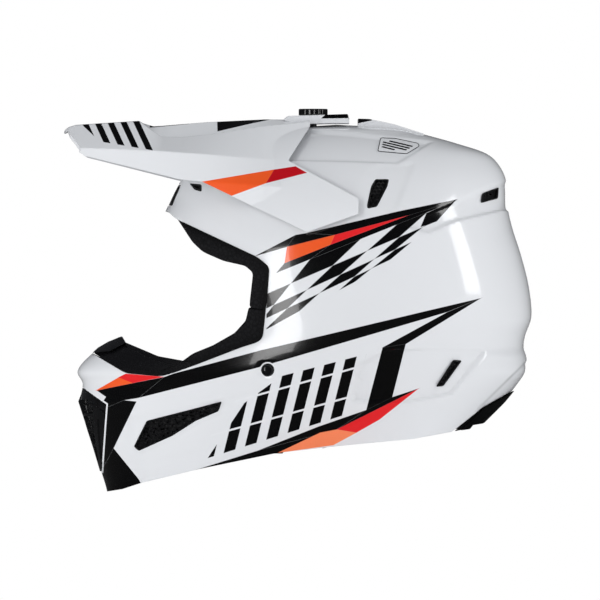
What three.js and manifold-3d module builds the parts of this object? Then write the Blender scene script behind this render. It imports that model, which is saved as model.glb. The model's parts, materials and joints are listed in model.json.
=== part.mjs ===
// A motocross helmet: shell, impact and comfort liners, cheek pads, chin strap with double D-rings,
// an adjustable visor on two side pegs and a top screw, vent inserts and rubber trims.
// Millimetres. The wearer faces -X, the wearer's left is -Y and +Z is up.
// Every outline below is written as [x, z] in the worn attitude, measured from the centre of the head.
// The finished group is then tipped back, so that the helmet stands on its chin and its rear edge, on Z = 0.
import * as THREE from 'three';
import { mergeVertices } from 'three/addons/utils/BufferGeometryUtils.js';
import Module from 'manifold-3d';

const wasm = await Module();
wasm.setup();

// ---------- driving dimensions ----------
const SHELL_HALF_WIDTH = 124; // widest point, over the ears
const SHELL_HEIGHT = 135.5; // head centre to the crown
const SHELL_WALL = 4;
const GAP = 0.5; // running gap between neighbouring layers
const STAND_SLOPE = THREE.MathUtils.degToRad(10); // worn attitude against standing attitude
const CHIN_FOOT = [-190, -165]; // point of the chin's underside that touches the table
const PIVOT = [-20, 68]; // visor pegs, on both sides
const ANCHOR = [-59, -65]; // chin strap anchor bolts, on both sides
const VISOR_WALL = 2.6;
const VISOR_CLEARANCE = 3.4; // between the visor's wings and the shell
const TAB_ARC = 74.5; // the seat of the visor screw is an arc round the pegs
const SCREW_X = -22;
const SCREW_SHANK = 2.9; // radius
const PEG_RADIUS = 4.4;
const PEG_FLANGE = 6.8; // radius
const PEG_BOSS = 9; // radius
const NUT_RADIUS = 8;
const BOLT_RADIUS = 4.9; // chin strap anchor bolts
const BOLT_HEAD = 8; // radius
const CLEARANCE = 0.4; // round a pin in its hole
const MESH_WALL = 1.6;
const STRAP_WIDTH = 25;
const STRAP_WALL = 1.8;
const FAR = 400; // longer than the helmet in every direction

// Height of the table in the worn attitude.
const tableAt = (x) => CHIN_FOOT[1] + (x - CHIN_FOOT[0]) * Math.tan(STAND_SLOPE);

// ---------- outlines in side view ----------
// Horizontal sections of the shell, from below the rim up to the crown:
// [z, foremost x, rearmost x, half width, x of the widest point].
const SECTIONS = [
  [-185, -189, 70, 80, 22],
  [-165, -192, 88, 87, 22],
  [-148, -197, 99, 93, 22],
  [-128, -203, 108, 98.5, 22],
  [-109, -209, 121, 105, 22],
  [-92, -213, 135, 111, 22],
  [-77, -211, 147, 116, 22],
  [-66, -215, 153.5, 119, 22],
  [-52, -203, 152.5, 121.5, 22],
  [-38, -182, 153, 123, 22],
  [-20, -176, 157, 124, 24],
  [4, -169, 154.5, 124, 26],
  [28, -159, 148.5, 122, 28],
  [50, -149, 141.5, 118, 30],
  [68, -141.5, 137.5, 111.5, 30],
  [88, -131.5, 136.5, 99.5, 28],
  [102, -119, 130.5, 88, 24],
  [112, -105, 119.5, 76.5, 20],
  [120, -88, 96, 64, 14],
  [127, -68, 71, 49, 8],
  [132.5, -45, 48, 32, 2],
  [SHELL_HEIGHT, -3, -3, 0, -3],
];
const EYE_PORT = [
  [-FAR, 66], [-141, 64.5], [-135, 58.5], [-67, 26.5], [-57.5, 18.5], [-59, -1.5], [-63, -38.5],
  [-67, -42.5], [-80, -46.5], [-115, -60], [-134, -67], [-146, -70.5], [-175, -68], [-203.5, -51.5],
  [-FAR, 60],
];
const RIM = [
  [-FAR, tableAt(-FAR)], [-178, tableAt(-178)], [-162, -157.5], [-115, -146], [-51, -132.5], [2, -126.5],
  [60, -121], [78, tableAt(78)], [91, tableAt(91)], [116, -96], [142, -82], [FAR, -82], [FAR, -FAR],
  [-FAR, -FAR],
];
const REAR_TRIM = [
  [92.8, tableAt(92.8)], [104, tableAt(104)], [107, -110.5], [117.5, -109], [132, -95], [144.5, -83],
  [142, -82.8], [116.4, -96.8],
];
const MOUTH_CUT = [[-FAR, -79], [-212, -79], [-191, -93.5], [-192.5, -111], [-195.5, -149], [-FAR, -149]];
const NOSE_GUARD = [
  [-206, -51], [-181, -38], [-177.5, -42.5], [-150, -54.5], [-128, -59.5], [-133.5, -66.2], [-146, -69.8],
  [-175, -67.3], [-202.5, -51.2],
];
const CROWN_LINER_CUT = [
  [-FAR, 59], [-131, 57], [-120.5, 39], [-112, 31], [-96, 24], [-78, 20], [-71, 14], [-74, -12],
  [-56, -14], [-38, -38], [44, -44], [58, -84], [FAR, -84], [FAR, -FAR], [-FAR, -FAR],
];
const CHEEK_PAD = [
  [-130, -59], [-120.5, -52], [-104.5, -45.5], [-86, -35], [-77, -25], [-74.5, -14], [-58, -16], [-40, -40],
  [34, -46.5], [36, -112], [-40, -118], [-92, -117], [-112, -93],
];
const CHIN_LINER = [
  [-200, -76], [-178, -71], [-146, -73.5], [-134.5, -70], [-115, -96], [-96, -121], [-100, -138],
  [-190, -156],
];
const STRAP_CHANNEL = [[-82, -52], [-32, -52], [-14, -140], [-98, -140]];
const BROW_PAD = [
  [-FAR, 51], [-126, 51], [-117, 36], [-95, 27], [-79, 23], [-79, 40], [-100, 62], [-FAR, 84],
];
const NECK_ROLL = [[62, -86.5], [128, -86.5], [101, -108], [64, -110.5]];

// Openings of the vents, alike on the left and the right.
const VENTS = {
  temple_vent_mesh: [[28.4, 90], [39.6, 90], [38.2, 84], [29.7, 67.5], [22.2, 66], [21.4, 68], [24.9, 84]],
  rear_vent_mesh: [[115.6, 78.7], [129.7, 84], [128.9, 74.7], [114.3, 70.7]],
  lower_vent_mesh: [[91.6, -56.8], [98.8, -57.4], [83.6, -78.2], [77.5, -78.7]],
  chin_side_mesh: [
    [-157.8, -106.7], [-96.4, -90.7], [-99.1, -98.7], [-117.8, -106.7], [-136.4, -118.7], [-164.5, -131.5],
    [-168.5, -128],
  ],
  brow_vent_mesh: [[-123.1, 87.2], [-113, 86.1], [-113, 80], [-119.1, 81.9]],
};
const CROWN_LOUVRE = [[32.9, 124.5], [44.9, 124], [63.6, 120], [64.9, 117.3], [54.2, 110.7], [30.2, 112.8]];
const FOREHEAD_VENT = [[-150, 72], [-135.4, 72], [-127.3, 88], [-140, 91]];

// Half outlines of the visor from front to rear:
// [x, height of the spine, half width at the crease, height of the crease, half width at the lower edge].
const VISOR_SECTIONS = [
  [-230, 126, 72, 113, 76],
  [-218, 137, 75, 115.5, 79],
  [-166, 138.6, 82, 112.5, 86],
  [-155, 135, 83.5, 111.5, 87.5],
  [-112, 137.5, 87, 107.6, 94],
  [-54, 140, 84, 105.6, 104],
  [-30, 138, 76, 100, 100],
];
const VISOR_OUTLINE = [
  [-226.6, 129.3], [-217.8, 137.6], [-217.8, 190], [60, 190], [60, 61.5], [14.5, 61.5], [-27, 46.7],
  [-88.6, 76.5], [-112.4, 88], [-131.2, 90], [-208.4, 109.3], [-212.4, 112],
];
const VISOR_REAR_CUT = [
  [-41.8, 106], [-24.6, 133.4], [-24.6, 200], [80, 200], [80, 50], [14.5, 61.5], [15, 72],
];
const VISOR_FRONT = [[-226.6, 0], [-225, 26], [-220.5, 52], [-211, 78], [-206, 90], [-206, 120], [60, 130]];
const TAB = [[-47, 139], [-43, 142.4], [6.5, 144], [7.5, 138.3], [-8, 138.3], [-40, 136.6]];
const TAB_HALF_WIDTH = 27;

// ---------- solids ----------
const solidFrom = (geometry) => {
  const bare = geometry.index ? geometry.toNonIndexed() : geometry.clone();
  for (const name of Object.keys(bare.attributes)) if (name !== 'position') bare.deleteAttribute(name);
  const merged = mergeVertices(bare, 1e-4);
  const mesh = new wasm.Mesh({
    numProp: 3,
    vertProperties: merged.attributes.position.array,
    triVerts: new Uint32Array(merged.index.array),
  });
  return new wasm.Manifold(mesh);
};

const geometryFrom = (solid) => {
  const mesh = solid.getMesh();
  const geometry = new THREE.BufferGeometry();
  geometry.setAttribute('position', new THREE.BufferAttribute(new Float32Array(mesh.vertProperties), 3));
  geometry.setIndex(new THREE.BufferAttribute(new Uint32Array(mesh.triVerts), 1));
  geometry.computeVertexNormals();
  return geometry;
};

// A closed surface from a grid of points, wrapped round in its first direction. A row of one point is a pole,
// and an end row of many points is closed with a fan.
const solidFromRings = (rings) => {
  const positions = [];
  const faces = [];
  const starts = rings.map((ring) => {
    const start = positions.length / 3;
    ring.forEach((p) => positions.push(...p));
    return start;
  });
  const size = Math.max(...rings.map((ring) => ring.length));
  const at = (row, i) => starts[row] + (rings[row].length === 1 ? 0 : i % size);
  for (let row = 0; row + 1 < rings.length; row++)
    for (let i = 0; i < size; i++) {
      if (rings[row].length > 1) faces.push(at(row, i), at(row, i + 1), at(row + 1, i));
      if (rings[row + 1].length > 1) faces.push(at(row, i + 1), at(row + 1, i + 1), at(row + 1, i));
    }
  for (const [row, turn] of [[0, 1], [rings.length - 1, 0]])
    for (let i = 1; rings[row].length > 1 && i + 1 < size; i++)
      faces.push(at(row, 0), at(row, i + turn), at(row, i + 1 - turn));
  const geometry = new THREE.BufferGeometry();
  geometry.setAttribute('position', new THREE.Float32BufferAttribute(positions, 3));
  geometry.setIndex(faces);
  const solid = solidFrom(geometry);
  if (solid.volume() > 0) return solid;
  for (let i = 0; i < faces.length; i += 3) [faces[i], faces[i + 1]] = [faces[i + 1], faces[i]];
  return solidFrom(geometry.setIndex(faces));
};

// An outline with each corner rounded by a quadratic curve that starts `radius` away from it.
const roundedShape = (points, radius = 0) => {
  const shape = new THREE.Shape();
  points.forEach(([x, y], i) => {
    const corner = new THREE.Vector2(x, y);
    const towards = (other) => {
      const side = new THREE.Vector2(...other).sub(corner);
      return side.setLength(Math.min(radius, side.length() * 0.45)).add(corner);
    };
    const before = towards(points.at(i - 1));
    const after = towards(points[(i + 1) % points.length]);
    if (i === 0) shape.moveTo(before.x, before.y);
    else shape.lineTo(before.x, before.y);
    if (radius > 0) shape.quadraticCurveTo(x, y, after.x, after.y);
  });
  return shape;
};

// Prisms: a side outline [x, z] swept along Y, a front outline [y, z] along X, a plan outline [x, y] along Z.
const extrude = (points, depth, radius) =>
  new THREE.ExtrudeGeometry(roundedShape(points, radius), { depth, bevelEnabled: false, curveSegments: 2 });
const sidePrism = (points, yLow, yHigh, radius) =>
  solidFrom(extrude(points, yHigh - yLow, radius).rotateX(Math.PI / 2).translate(0, yHigh, 0));
const frontPrism = (points, xLow, xHigh, radius) => {
  const upright = extrude(points, xHigh - xLow, radius).rotateX(Math.PI / 2).rotateZ(Math.PI / 2);
  return solidFrom(upright.translate(xLow, 0, 0));
};
const planPrism = (points, zLow, zHigh, radius) =>
  solidFrom(extrude(points, zHigh - zLow, radius).translate(0, 0, zLow));

const cylinderY = (radius, yLow, yHigh, [x, z], segments = 16) => {
  const cylinder = new THREE.CylinderGeometry(radius, radius, yHigh - yLow, segments);
  return solidFrom(cylinder.translate(x, (yLow + yHigh) / 2, z));
};
const cylinderZ = (radius, zLow, zHigh, x, segments = 20) => {
  const cylinder = new THREE.CylinderGeometry(radius, radius, zHigh - zLow, segments);
  return solidFrom(cylinder.rotateX(Math.PI / 2).translate(x, 0, (zLow + zHigh) / 2));
};

// The outline with every edge moved inwards, for an insert that sits in an opening with a gap round it.
const inset = (points, distance) => {
  const sense = THREE.ShapeUtils.isClockWise(points.map(([x, y]) => new THREE.Vector2(x, y))) ? -1 : 1;
  return points.map((point, i) => {
    const corner = new THREE.Vector2(...point);
    const before = corner.clone().sub(new THREE.Vector2(...points.at(i - 1))).normalize();
    const after = new THREE.Vector2(...points[(i + 1) % points.length]).sub(corner).normalize();
    const bisector = new THREE.Vector2(-before.y - after.y, before.x + after.x).multiplyScalar(sense);
    const reach = distance / (1 + before.dot(after));
    return corner.addScaledVector(bisector, reach).toArray();
  });
};

// ---------- the shell's form ----------
// One section's numbers at a fractional row, on a Catmull-Rom curve through the sections.
const sectionAt = (row) => {
  const last = SECTIONS.length - 1;
  const i = Math.min(Math.floor(row), last - 1);
  const t = row - i;
  const pick = (k) => SECTIONS[THREE.MathUtils.clamp(k, 0, last)];
  return SECTIONS[0].map((_, k) => {
    const [a, b, c, d] = [pick(i - 1)[k], pick(i)[k], pick(i + 1)[k], pick(i + 2)[k]];
    const slope0 = (c - a) / 2;
    const slope1 = (d - b) / 2;
    const t2 = t * t;
    const t3 = t2 * t;
    const ends = (2 * t3 - 3 * t2 + 1) * b + (3 * t2 - 2 * t3) * c;
    return ends + (t3 - 2 * t2 + t) * slope0 + (t3 - t2) * slope1;
  });
};

const REAR_ROUNDNESS = 2.25;
const BROW_ROUNDNESS = 2.2;
const CHIN_ROUNDNESS = 1.82; // a lower power makes the chin bar taper towards its nose
const frontRoundness = (z) => {
  const climb = THREE.MathUtils.smoothstep(z, -60, 60); // from the chin bar to the brow
  return THREE.MathUtils.lerp(CHIN_ROUNDNESS, BROW_ROUNDNESS, climb);
};

// A point of the shell's outer form, moved in by `depth`. The turn runs 0 at the rear, PI at the front.
const FLAT_REACH = 150; // sections shorter than this near the crown are shrunk in proportion
const shellPoint = (row, turn, depth) => {
  const [z, front, rear, half, widest] = sectionAt(row);
  const forward = Math.cos(turn) < 0;
  const power = 2 / (forward ? frontRoundness(z) : REAR_ROUNDNESS);
  const reach = forward ? widest - front : rear - widest;
  const along = Math.sign(Math.cos(turn)) * Math.abs(Math.cos(turn)) ** power;
  const across = Math.sign(Math.sin(turn)) * Math.abs(Math.sin(turn)) ** power;
  return [
    widest + reach * along * (1 - depth / Math.max(reach, FLAT_REACH)),
    half * across * (1 - depth / SHELL_HALF_WIDTH),
    z > 0 ? z * (1 - depth / SHELL_HEIGHT) : z,
  ];
};

// Everything inside the shell's outer form, moved in by `depth`.
const TURNS = 32;
const formSolid = (depth) => {
  const rings = SECTIONS.map((_, row) => {
    const ring = [];
    for (let i = 0; i < TURNS; i++) ring.push(shellPoint(row, (i / TURNS) * Math.PI * 2, depth));
    return row === SECTIONS.length - 1 ? [ring[0]] : ring;
  });
  return solidFromRings(rings);
};
const layer = (from, to) => formSolid(from).subtract(formSolid(to));

// ---------- shell ----------
const CREST = [[14.5, 120], [14.5, 140.3], [24, 140], [44, 135.8], [69, 127.8], [66, 120]];
const CREST_HALF_WIDTH = 20;
const bothSides = (points, radius) => sidePrism(points, -FAR, FAR, radius);
const sideBand = (points, side, low, high, radius) =>
  side < 0 ? sidePrism(points, -high, -low, radius) : sidePrism(points, low, high, radius);
const oneSide = (points, side, radius) => sideBand(points, side, 1, FAR, radius);
const acrossY = (radius, point, segments) => cylinderY(radius, -FAR, FAR, point, segments);
const screwHole = () => cylinderZ(SCREW_SHANK + CLEARANCE, 100, 160, SCREW_X, 12);

const outerShell = () => {
  const crest = sidePrism(CREST, -CREST_HALF_WIDTH, CREST_HALF_WIDTH, 1);
  let shell = formSolid(0).add(crest).subtract(formSolid(SHELL_WALL));
  shell = shell.subtract(bothSides(EYE_PORT, 4)).subtract(bothSides(RIM));
  shell = shell.subtract(bothSides(MOUTH_CUT));
  for (const vent of [...Object.values(VENTS), CROWN_LOUVRE, FOREHEAD_VENT]) {
    shell = shell.subtract(bothSides(vent, 1.5));
  }
  return shell
    .subtract(acrossY(BOLT_RADIUS + CLEARANCE, ANCHOR))
    .subtract(acrossY(PEG_RADIUS + CLEARANCE, PIVOT))
    .subtract(screwHole());
};

// An insert that fills an opening, a little below the shell's surface, on one side.
const INSERT_DEPTH = 1.2;
const ventInsert = (points, side, depth = INSERT_DEPTH) =>
  layer(depth, depth + MESH_WALL).intersect(oneSide(inset(points, GAP), side, 1.2));

const foreheadVentMesh = () =>
  layer(INSERT_DEPTH, INSERT_DEPTH + MESH_WALL).intersect(bothSides(inset(FOREHEAD_VENT, GAP)));

// Slatted cover: a rim nearly flush with the shell, and slots between the slats.
const LOUVRE = {
  depth: 0.6, slots: 4, firstSlot: 36, pitch: 6, width: 2.4, low: 115.2, high: 120.8, lean: 2,
};
const louvreInsert = (side) => {
  const { depth, slots, firstSlot, pitch, width, low, high, lean } = LOUVRE;
  let cover = ventInsert(CROWN_LOUVRE, side, depth);
  for (let i = 0; i < slots; i++) {
    const x = firstSlot + i * pitch;
    const slot = [[x, high], [x + width, high], [x + width - lean, low], [x - lean, low]];
    cover = cover.subtract(oneSide(slot, side));
  }
  return cover;
};

// The eye port's rubber edging lies inside the opening's edge, from one side of the nose guard to the other.
const GASKET_WIDTH = 2;
const GASKET_GAP = 0.35; // to the edge of the opening
const GASKET_END = [[-FAR, -40], [-122, -40], [-122, -90], [-FAR, -90]]; // the nose guard takes over here
const eyeportGasket = () =>
  bothSides(inset(EYE_PORT, GASKET_GAP), 4)
    .subtract(bothSides(inset(EYE_PORT, GASKET_GAP + GASKET_WIDTH), 3))
    .intersect(layer(-0.8, SHELL_WALL + 0.1))
    .subtract(bothSides(GASKET_END));

const noseGuard = () => bothSides(NOSE_GUARD, 2).intersect(layer(0.8, 11));
const rearEdgeTrim = () => bothSides(REAR_TRIM, 1.5).intersect(layer(-0.6, SHELL_WALL + 0.6));

// ---------- chin vent ----------
const MOUTH_HOLE = [[-29, -90], [29, -90], [7.5, -141], [-7.5, -141]];
const mouthVentFrame = () =>
  bothSides(inset(MOUTH_CUT, 0.4))
    .intersect(layer(0, SHELL_WALL))
    .subtract(frontPrism(MOUTH_HOLE, -FAR, 0, 3));

// A grille with level slots that get shorter as the hole narrows.
const GRILLE = { depth: 1, slots: 4, top: -95, pitch: 10, slotHeight: 6, rib: 3.5 };
const mouthVentGrille = () => {
  const { depth, slots, top, pitch, slotHeight, rib } = GRILLE;
  const [, [wideHalf, wideZ], [narrowHalf, narrowZ]] = MOUTH_HOLE;
  const region = frontPrism(inset(MOUTH_HOLE, GAP), -FAR, -100, 3);
  let grille = layer(depth, depth + MESH_WALL).intersect(region);
  for (let i = 0; i < slots; i++) {
    const high = top - i * pitch;
    const low = high - slotHeight;
    const half = THREE.MathUtils.mapLinear(low, wideZ, narrowZ, wideHalf, narrowHalf) - rib;
    const slot = [[-half, high], [half, high], [half, low], [-half, low]];
    grille = grille.subtract(frontPrism(slot, -FAR, -100));
  }
  return grille;
};

// The filter is a little wider than the hole, and the liner behind it leaves room for it.
const dustFilter = () => layer(7, 11).intersect(frontPrism(inset(MOUTH_HOLE, -1.5), -FAR, -100, 3));
const chinImpactLiner = () =>
  bothSides(CHIN_LINER, 3)
    .intersect(layer(SHELL_WALL + GAP, 18))
    .subtract(frontPrism(inset(MOUTH_HOLE, -2.5), -FAR, -100, 3));

// ---------- liners and pads ----------
const HEAD = { x: 5, length: 107, width: 86.5, height: 100 }; // centre and half lengths of the hollow
const COMFORT_WALL = 8;

// The hollow for the head, made larger by `grow`: a half ellipsoid above a straight well.
const headHollow = (grow) => {
  const UP = 6;
  const AROUND = 24;
  const ring = (share, z) => {
    const halfLength = (HEAD.length + grow) * share;
    const halfWidth = (HEAD.width + grow) * share;
    return Array.from({ length: AROUND }, (_, i) => {
      const turn = (i / AROUND) * Math.PI * 2;
      return [HEAD.x + halfLength * Math.cos(turn), halfWidth * Math.sin(turn), z];
    });
  };
  const rings = [ring(1, -170)];
  for (let i = 0; i < UP; i++) {
    const climb = ((i / UP) * Math.PI) / 2;
    rings.push(ring(Math.cos(climb), (HEAD.height + grow) * Math.sin(climb)));
  }
  return solidFromRings([...rings, [[HEAD.x, 0, HEAD.height + grow]]]);
};

const BROW_POCKET = inset(BROW_PAD, -GAP);
const BROW_REACH = 22; // how far out from the head's hollow the brow pad goes
const browRegion = (outline, grow) => bothSides(outline, 2).intersect(headHollow(BROW_REACH + grow));
const crownImpactLiner = () =>
  formSolid(SHELL_WALL + GAP)
    .subtract(headHollow(GAP))
    .subtract(bothSides(CROWN_LINER_CUT, 3))
    .subtract(browRegion(BROW_POCKET, GAP))
    .subtract(cylinderZ(NUT_RADIUS + 2, 115, 160, SCREW_X))
    .subtract(acrossY(PEG_FLANGE + 0.7, PIVOT));

const COMFORT_CUT = [
  [-FAR, 66], [-62, 30], [-40, -30], [46, -40], [60, -62], [FAR, -62], [FAR, -FAR], [-FAR, -FAR],
];
const comfortLiner = () =>
  headHollow(0).subtract(headHollow(-COMFORT_WALL)).subtract(bothSides(COMFORT_CUT, 3));
const browPad = () =>
  browRegion(BROW_PAD, 0).subtract(headHollow(GAP)).subtract(bothSides(CROWN_LINER_CUT, 3));
const NECK_ROLL_REACH = 16; // how far the neck roll stands in from the head's hollow
const neckRoll = () =>
  bothSides(NECK_ROLL, 4).intersect(formSolid(SHELL_WALL + GAP)).subtract(headHollow(-NECK_ROLL_REACH));

// A cheek pad is a soft pad on a foam core. The core has a channel on its outside for the chin strap.
const PAD_INNER = 54;
const PAD_OUTER = 72.5;
const CORE_INNER = 73;
const CHANNEL_FLOOR = 75.5;
const cheekPad = (side) =>
  sideBand(CHEEK_PAD, side, PAD_INNER, PAD_OUTER, 6).intersect(formSolid(SHELL_WALL + 1));
const cheekPadCore = (side) =>
  sideBand(CHEEK_PAD, side, CORE_INNER, FAR, 6)
    .intersect(formSolid(SHELL_WALL + 1))
    .subtract(sideBand(STRAP_CHANNEL, side, CHANNEL_FLOOR, FAR, 3));
const PULL_TAB = [[-22, -118.6], [-6, -118.6], [-6, -127], [-14, -129.5], [-22, -127]];
const pullTab = (side) => sideBand(PULL_TAB, side, 60, 62.5, 1);

// ---------- chin strap ----------
// Path of a strap in front view, from its anchor down and inwards: [distance from the middle, z].
const STRAP_PATHS = {
  left: [[95.1, -74.4], [93.2, -80], [80.4, -116], [75, -124.5], [66, -128], [38.5, -126.3]],
  right: [[95.1, -74.4], [93.2, -80], [80.4, -116], [75, -124.5], [66, -128], [40, -126.4], [4, -126.4]],
};

// A band of even thickness along a path, as a closed outline.
const bandAlong = (path, wall) => {
  const shifted = (distance) =>
    path.map(([a, z], i) => {
      const [from, to] = [path[Math.max(i - 1, 0)], path[Math.min(i + 1, path.length - 1)]];
      const along = new THREE.Vector2(to[0] - from[0], to[1] - from[1]).normalize();
      return [a + along.y * distance, z - along.x * distance];
    });
  return [...shifted(wall / 2), ...shifted(-wall / 2).reverse()];
};
const strapBand = (path, side, width, wall) => {
  const outline = bandAlong(path, wall).map(([a, z]) => [a * side, z]);
  return frontPrism(outline, ANCHOR[0] - width / 2, ANCHOR[0] + width / 2);
};

// One side's anchor: a bolt through the shell, and a steel plate that the strap hangs from.
const PLATE = [[-72, -66], [-72, -80], [-46, -80], [-46, -66], [-51, -54], [-67, -54]];
const strapAnchorPlate = (side) =>
  sideBand(PLATE, side, 96.4, 98.2, 3).subtract(acrossY(BOLT_RADIUS + GAP, ANCHOR));
const strapAnchorBolt = (side) => {
  const across = (radius, low, high) =>
    side < 0 ? cylinderY(radius, -high, -low, ANCHOR) : cylinderY(radius, low, high, ANCHOR);
  const head = across(BOLT_HEAD, 93.7, 96); // inside the helmet, holding the plate
  return across(BOLT_RADIUS, 95, 130).intersect(formSolid(-0.8)).add(head);
};

const SLEEVE_PATH = [[64, -127.88], [46, -126.77]];
const SLEEVE_WALL = 7;
const SLEEVE_BORE = [[80, -128.86], [20, -125.17]]; // the sleeve's path, longer at both ends
const strapSleeve = (side) => {
  const bore = strapBand(SLEEVE_BORE, side, STRAP_WIDTH + 0.8, STRAP_WALL + 1.4);
  return strapBand(SLEEVE_PATH, side, STRAP_WIDTH + 6, SLEEVE_WALL).subtract(bore);
};

// The left strap ends in a sewn loop round the bars of both D-rings.
const LOOP = { middle: -32, z: -126.5, halfLength: 7.5, halfHeight: 7.2, wall: 1.8 };
const leftStrap = () => {
  const { middle, z, halfLength, halfHeight, wall } = LOOP;
  const box = [
    [middle - halfLength, z - halfHeight],
    [middle + halfLength, z - halfHeight],
    [middle + halfLength, z + halfHeight],
    [middle - halfLength, z + halfHeight],
  ];
  const low = ANCHOR[0] - STRAP_WIDTH / 2;
  const high = ANCHOR[0] + STRAP_WIDTH / 2;
  return strapBand(STRAP_PATHS.left, -1, STRAP_WIDTH, STRAP_WALL)
    .add(frontPrism(box, low, high, 3))
    .subtract(frontPrism(inset(box, wall), low - 1, high + 1, 2));
};
const rightStrap = () => strapBand(STRAP_PATHS.right, 1, STRAP_WIDTH, STRAP_WALL);
const SNAP = { y: 13, z: -124, topRadius: 5.5, bottomRadius: 6.5, height: 2.4 };
const strapSnap = () => {
  const stud = new THREE.CylinderGeometry(SNAP.topRadius, SNAP.bottomRadius, SNAP.height, 20);
  return solidFrom(stud.rotateX(Math.PI / 2).translate(ANCHOR[0], SNAP.y, SNAP.z));
};

const RING = [[-16.6, -2], [16.6, -2], [16.6, 8], [10, 22], [-10, 22], [-16.6, 8]];
const RING_LIFT = 2.4; // of each ring's bar from the middle of the loop
const dRing = (lift) => {
  const shape = roundedShape(RING, 7);
  shape.holes.push(roundedShape(inset(RING, 3.6), 4));
  const ring = new THREE.ExtrudeGeometry(shape, {
    depth: 1.2, bevelThickness: 1, bevelSize: 0.7, bevelOffset: -0.7, bevelSegments: 1, curveSegments: 2,
  });
  return solidFrom(ring.translate(ANCHOR[0], LOOP.middle, LOOP.z + lift - 0.6));
};

// ---------- visor ----------
// The solid under the visor's skin: the skin is the difference between this form and the same one shrunk.
const VISOR_FLOOR = 20;
const visorForm = (shrink) => {
  const rings = VISOR_SECTIONS.map(([x, spine, creaseY, creaseZ, edgeY]) => {
    const half = [
      [0.3 * creaseY, spine - 0.5 - shrink],
      [0.37 * creaseY, spine - 4 - shrink],
      [0.74 * creaseY, THREE.MathUtils.lerp(spine, creaseZ, 0.45) - shrink],
      [creaseY - 0.8 * shrink, creaseZ - 0.8 * shrink],
      [edgeY - shrink, creaseZ - 20],
      [edgeY - shrink, VISOR_FLOOR],
    ];
    const mirrored = half.map(([y, z]) => [-y, z]).reverse();
    return [...mirrored, [0, spine - shrink], ...half].map(([y, z]) => [x, y, z]);
  });
  return solidFromRings(rings);
};

const visor = () => {
  const outer = visorForm(0).add(formSolid(-VISOR_CLEARANCE - VISOR_WALL));
  const inner = visorForm(VISOR_WALL).add(formSolid(-VISOR_CLEARANCE));
  const plan = [...VISOR_FRONT, ...VISOR_FRONT.slice(1).map(([x, y]) => [x, -y]).reverse()];
  const rearCut = (side) => sideBand(VISOR_REAR_CUT, side, TAB_HALF_WIDTH, FAR);
  const behindTab = sidePrism([[7.5, 90], [80, 90], [80, 200], [7.5, 200]], -80, 80);
  const bosses = acrossY(PEG_BOSS, PIVOT)
    .subtract(acrossY(PEG_RADIUS + GAP, PIVOT))
    .intersect(layer(-VISOR_CLEARANCE - 1, -1.1));
  const tab = sidePrism(TAB, -TAB_HALF_WIDTH, TAB_HALF_WIDTH);
  return outer.subtract(inner)
    .intersect(bothSides(VISOR_OUTLINE))
    .intersect(planPrism(plan, 0, 200))
    .subtract(rearCut(-1)).subtract(rearCut(1)).subtract(behindTab)
    .add(bosses).add(tab)
    .subtract(screwSeat());
};

// The screw's head sits in a pocket of the tab, on a floor that is an arc round the pegs, with a slot
// along it.
const SCREW_HEAD = 12; // radius
const SEAT = { front: -39.7, rear: -1.4, halfWidth: 12.8 };
const SLOT = [[-30.6, -3.4], [-10.6, -3.4], [-10.6, 3.4], [-30.6, 3.4]]; // in plan
const screwSeat = () => {
  const STEPS = 8;
  const floor = Array.from({ length: STEPS + 1 }, (_, i) => {
    const x = THREE.MathUtils.lerp(SEAT.front, SEAT.rear, i / STEPS);
    return [x, PIVOT[1] + Math.sqrt(TAB_ARC ** 2 - (x - PIVOT[0]) ** 2)];
  });
  const outline = [...floor, [SEAT.rear, 160], [SEAT.front, 160]];
  const pocket = sidePrism(outline, -SEAT.halfWidth, SEAT.halfWidth);
  return pocket.add(planPrism(SLOT, 120, 160, 3));
};

const visorScrew = () => {
  const headTop = 148.5;
  const seat = PIVOT[1] + TAB_ARC + CLEARANCE;
  const driverSlot = [[-31, -1.2], [-13, -1.2], [-13, 1.2], [-31, 1.2]];
  return cylinderZ(SCREW_HEAD, seat, headTop, SCREW_X, 24)
    .add(cylinderZ(SCREW_SHANK, 119, seat + 1, SCREW_X, 12))
    .subtract(planPrism(driverSlot, headTop - 1.6, headTop + 1));
};
const visorNut = () => cylinderZ(NUT_RADIUS, 122, 129, SCREW_X, 6).subtract(screwHole());
const visorPeg = (side) => {
  const shank = acrossY(PEG_RADIUS, PIVOT).intersect(layer(-VISOR_CLEARANCE + 0.6, 10));
  const flange = acrossY(PEG_FLANGE, PIVOT).intersect(layer(SHELL_WALL + CLEARANCE, 8));
  return shank.add(flange).intersect(oneSide([[-40, 40], [0, 40], [0, 90], [-40, 90]], side));
};

// ---------- materials ----------
const material = (color, roughness, metalness = 0) =>
  new THREE.MeshStandardMaterial({ color, roughness, metalness });
const glossWhite = material(0xf2f3f5, 0.15);
const glossBlack = material(0x101012, 0.2);
const meshBlack = material(0x18181a, 0.7);
const foamBlack = material(0x222224, 0.95);
const fabricBlack = material(0x161618, 0.9);
const rubberBlack = material(0x141416, 0.75);
const webbing = material(0x1a1a1c, 0.85);
const redWebbing = material(0xd8252c, 0.8);
const steel = material(0xb9bcc0, 0.3, 1);

// ---------- assembly ----------
const root = new THREE.Group();
root.name = 'motocross_helmet';
const addPiece = (parent, name, solid, look) => {
  const mesh = new THREE.Mesh(geometryFrom(solid), look);
  mesh.name = name;
  parent.add(mesh);
};
const addPair = (parent, name, make, look) => {
  addPiece(parent, `${name}_left`, make(-1), look);
  addPiece(parent, `${name}_right`, make(1), look);
};

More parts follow.
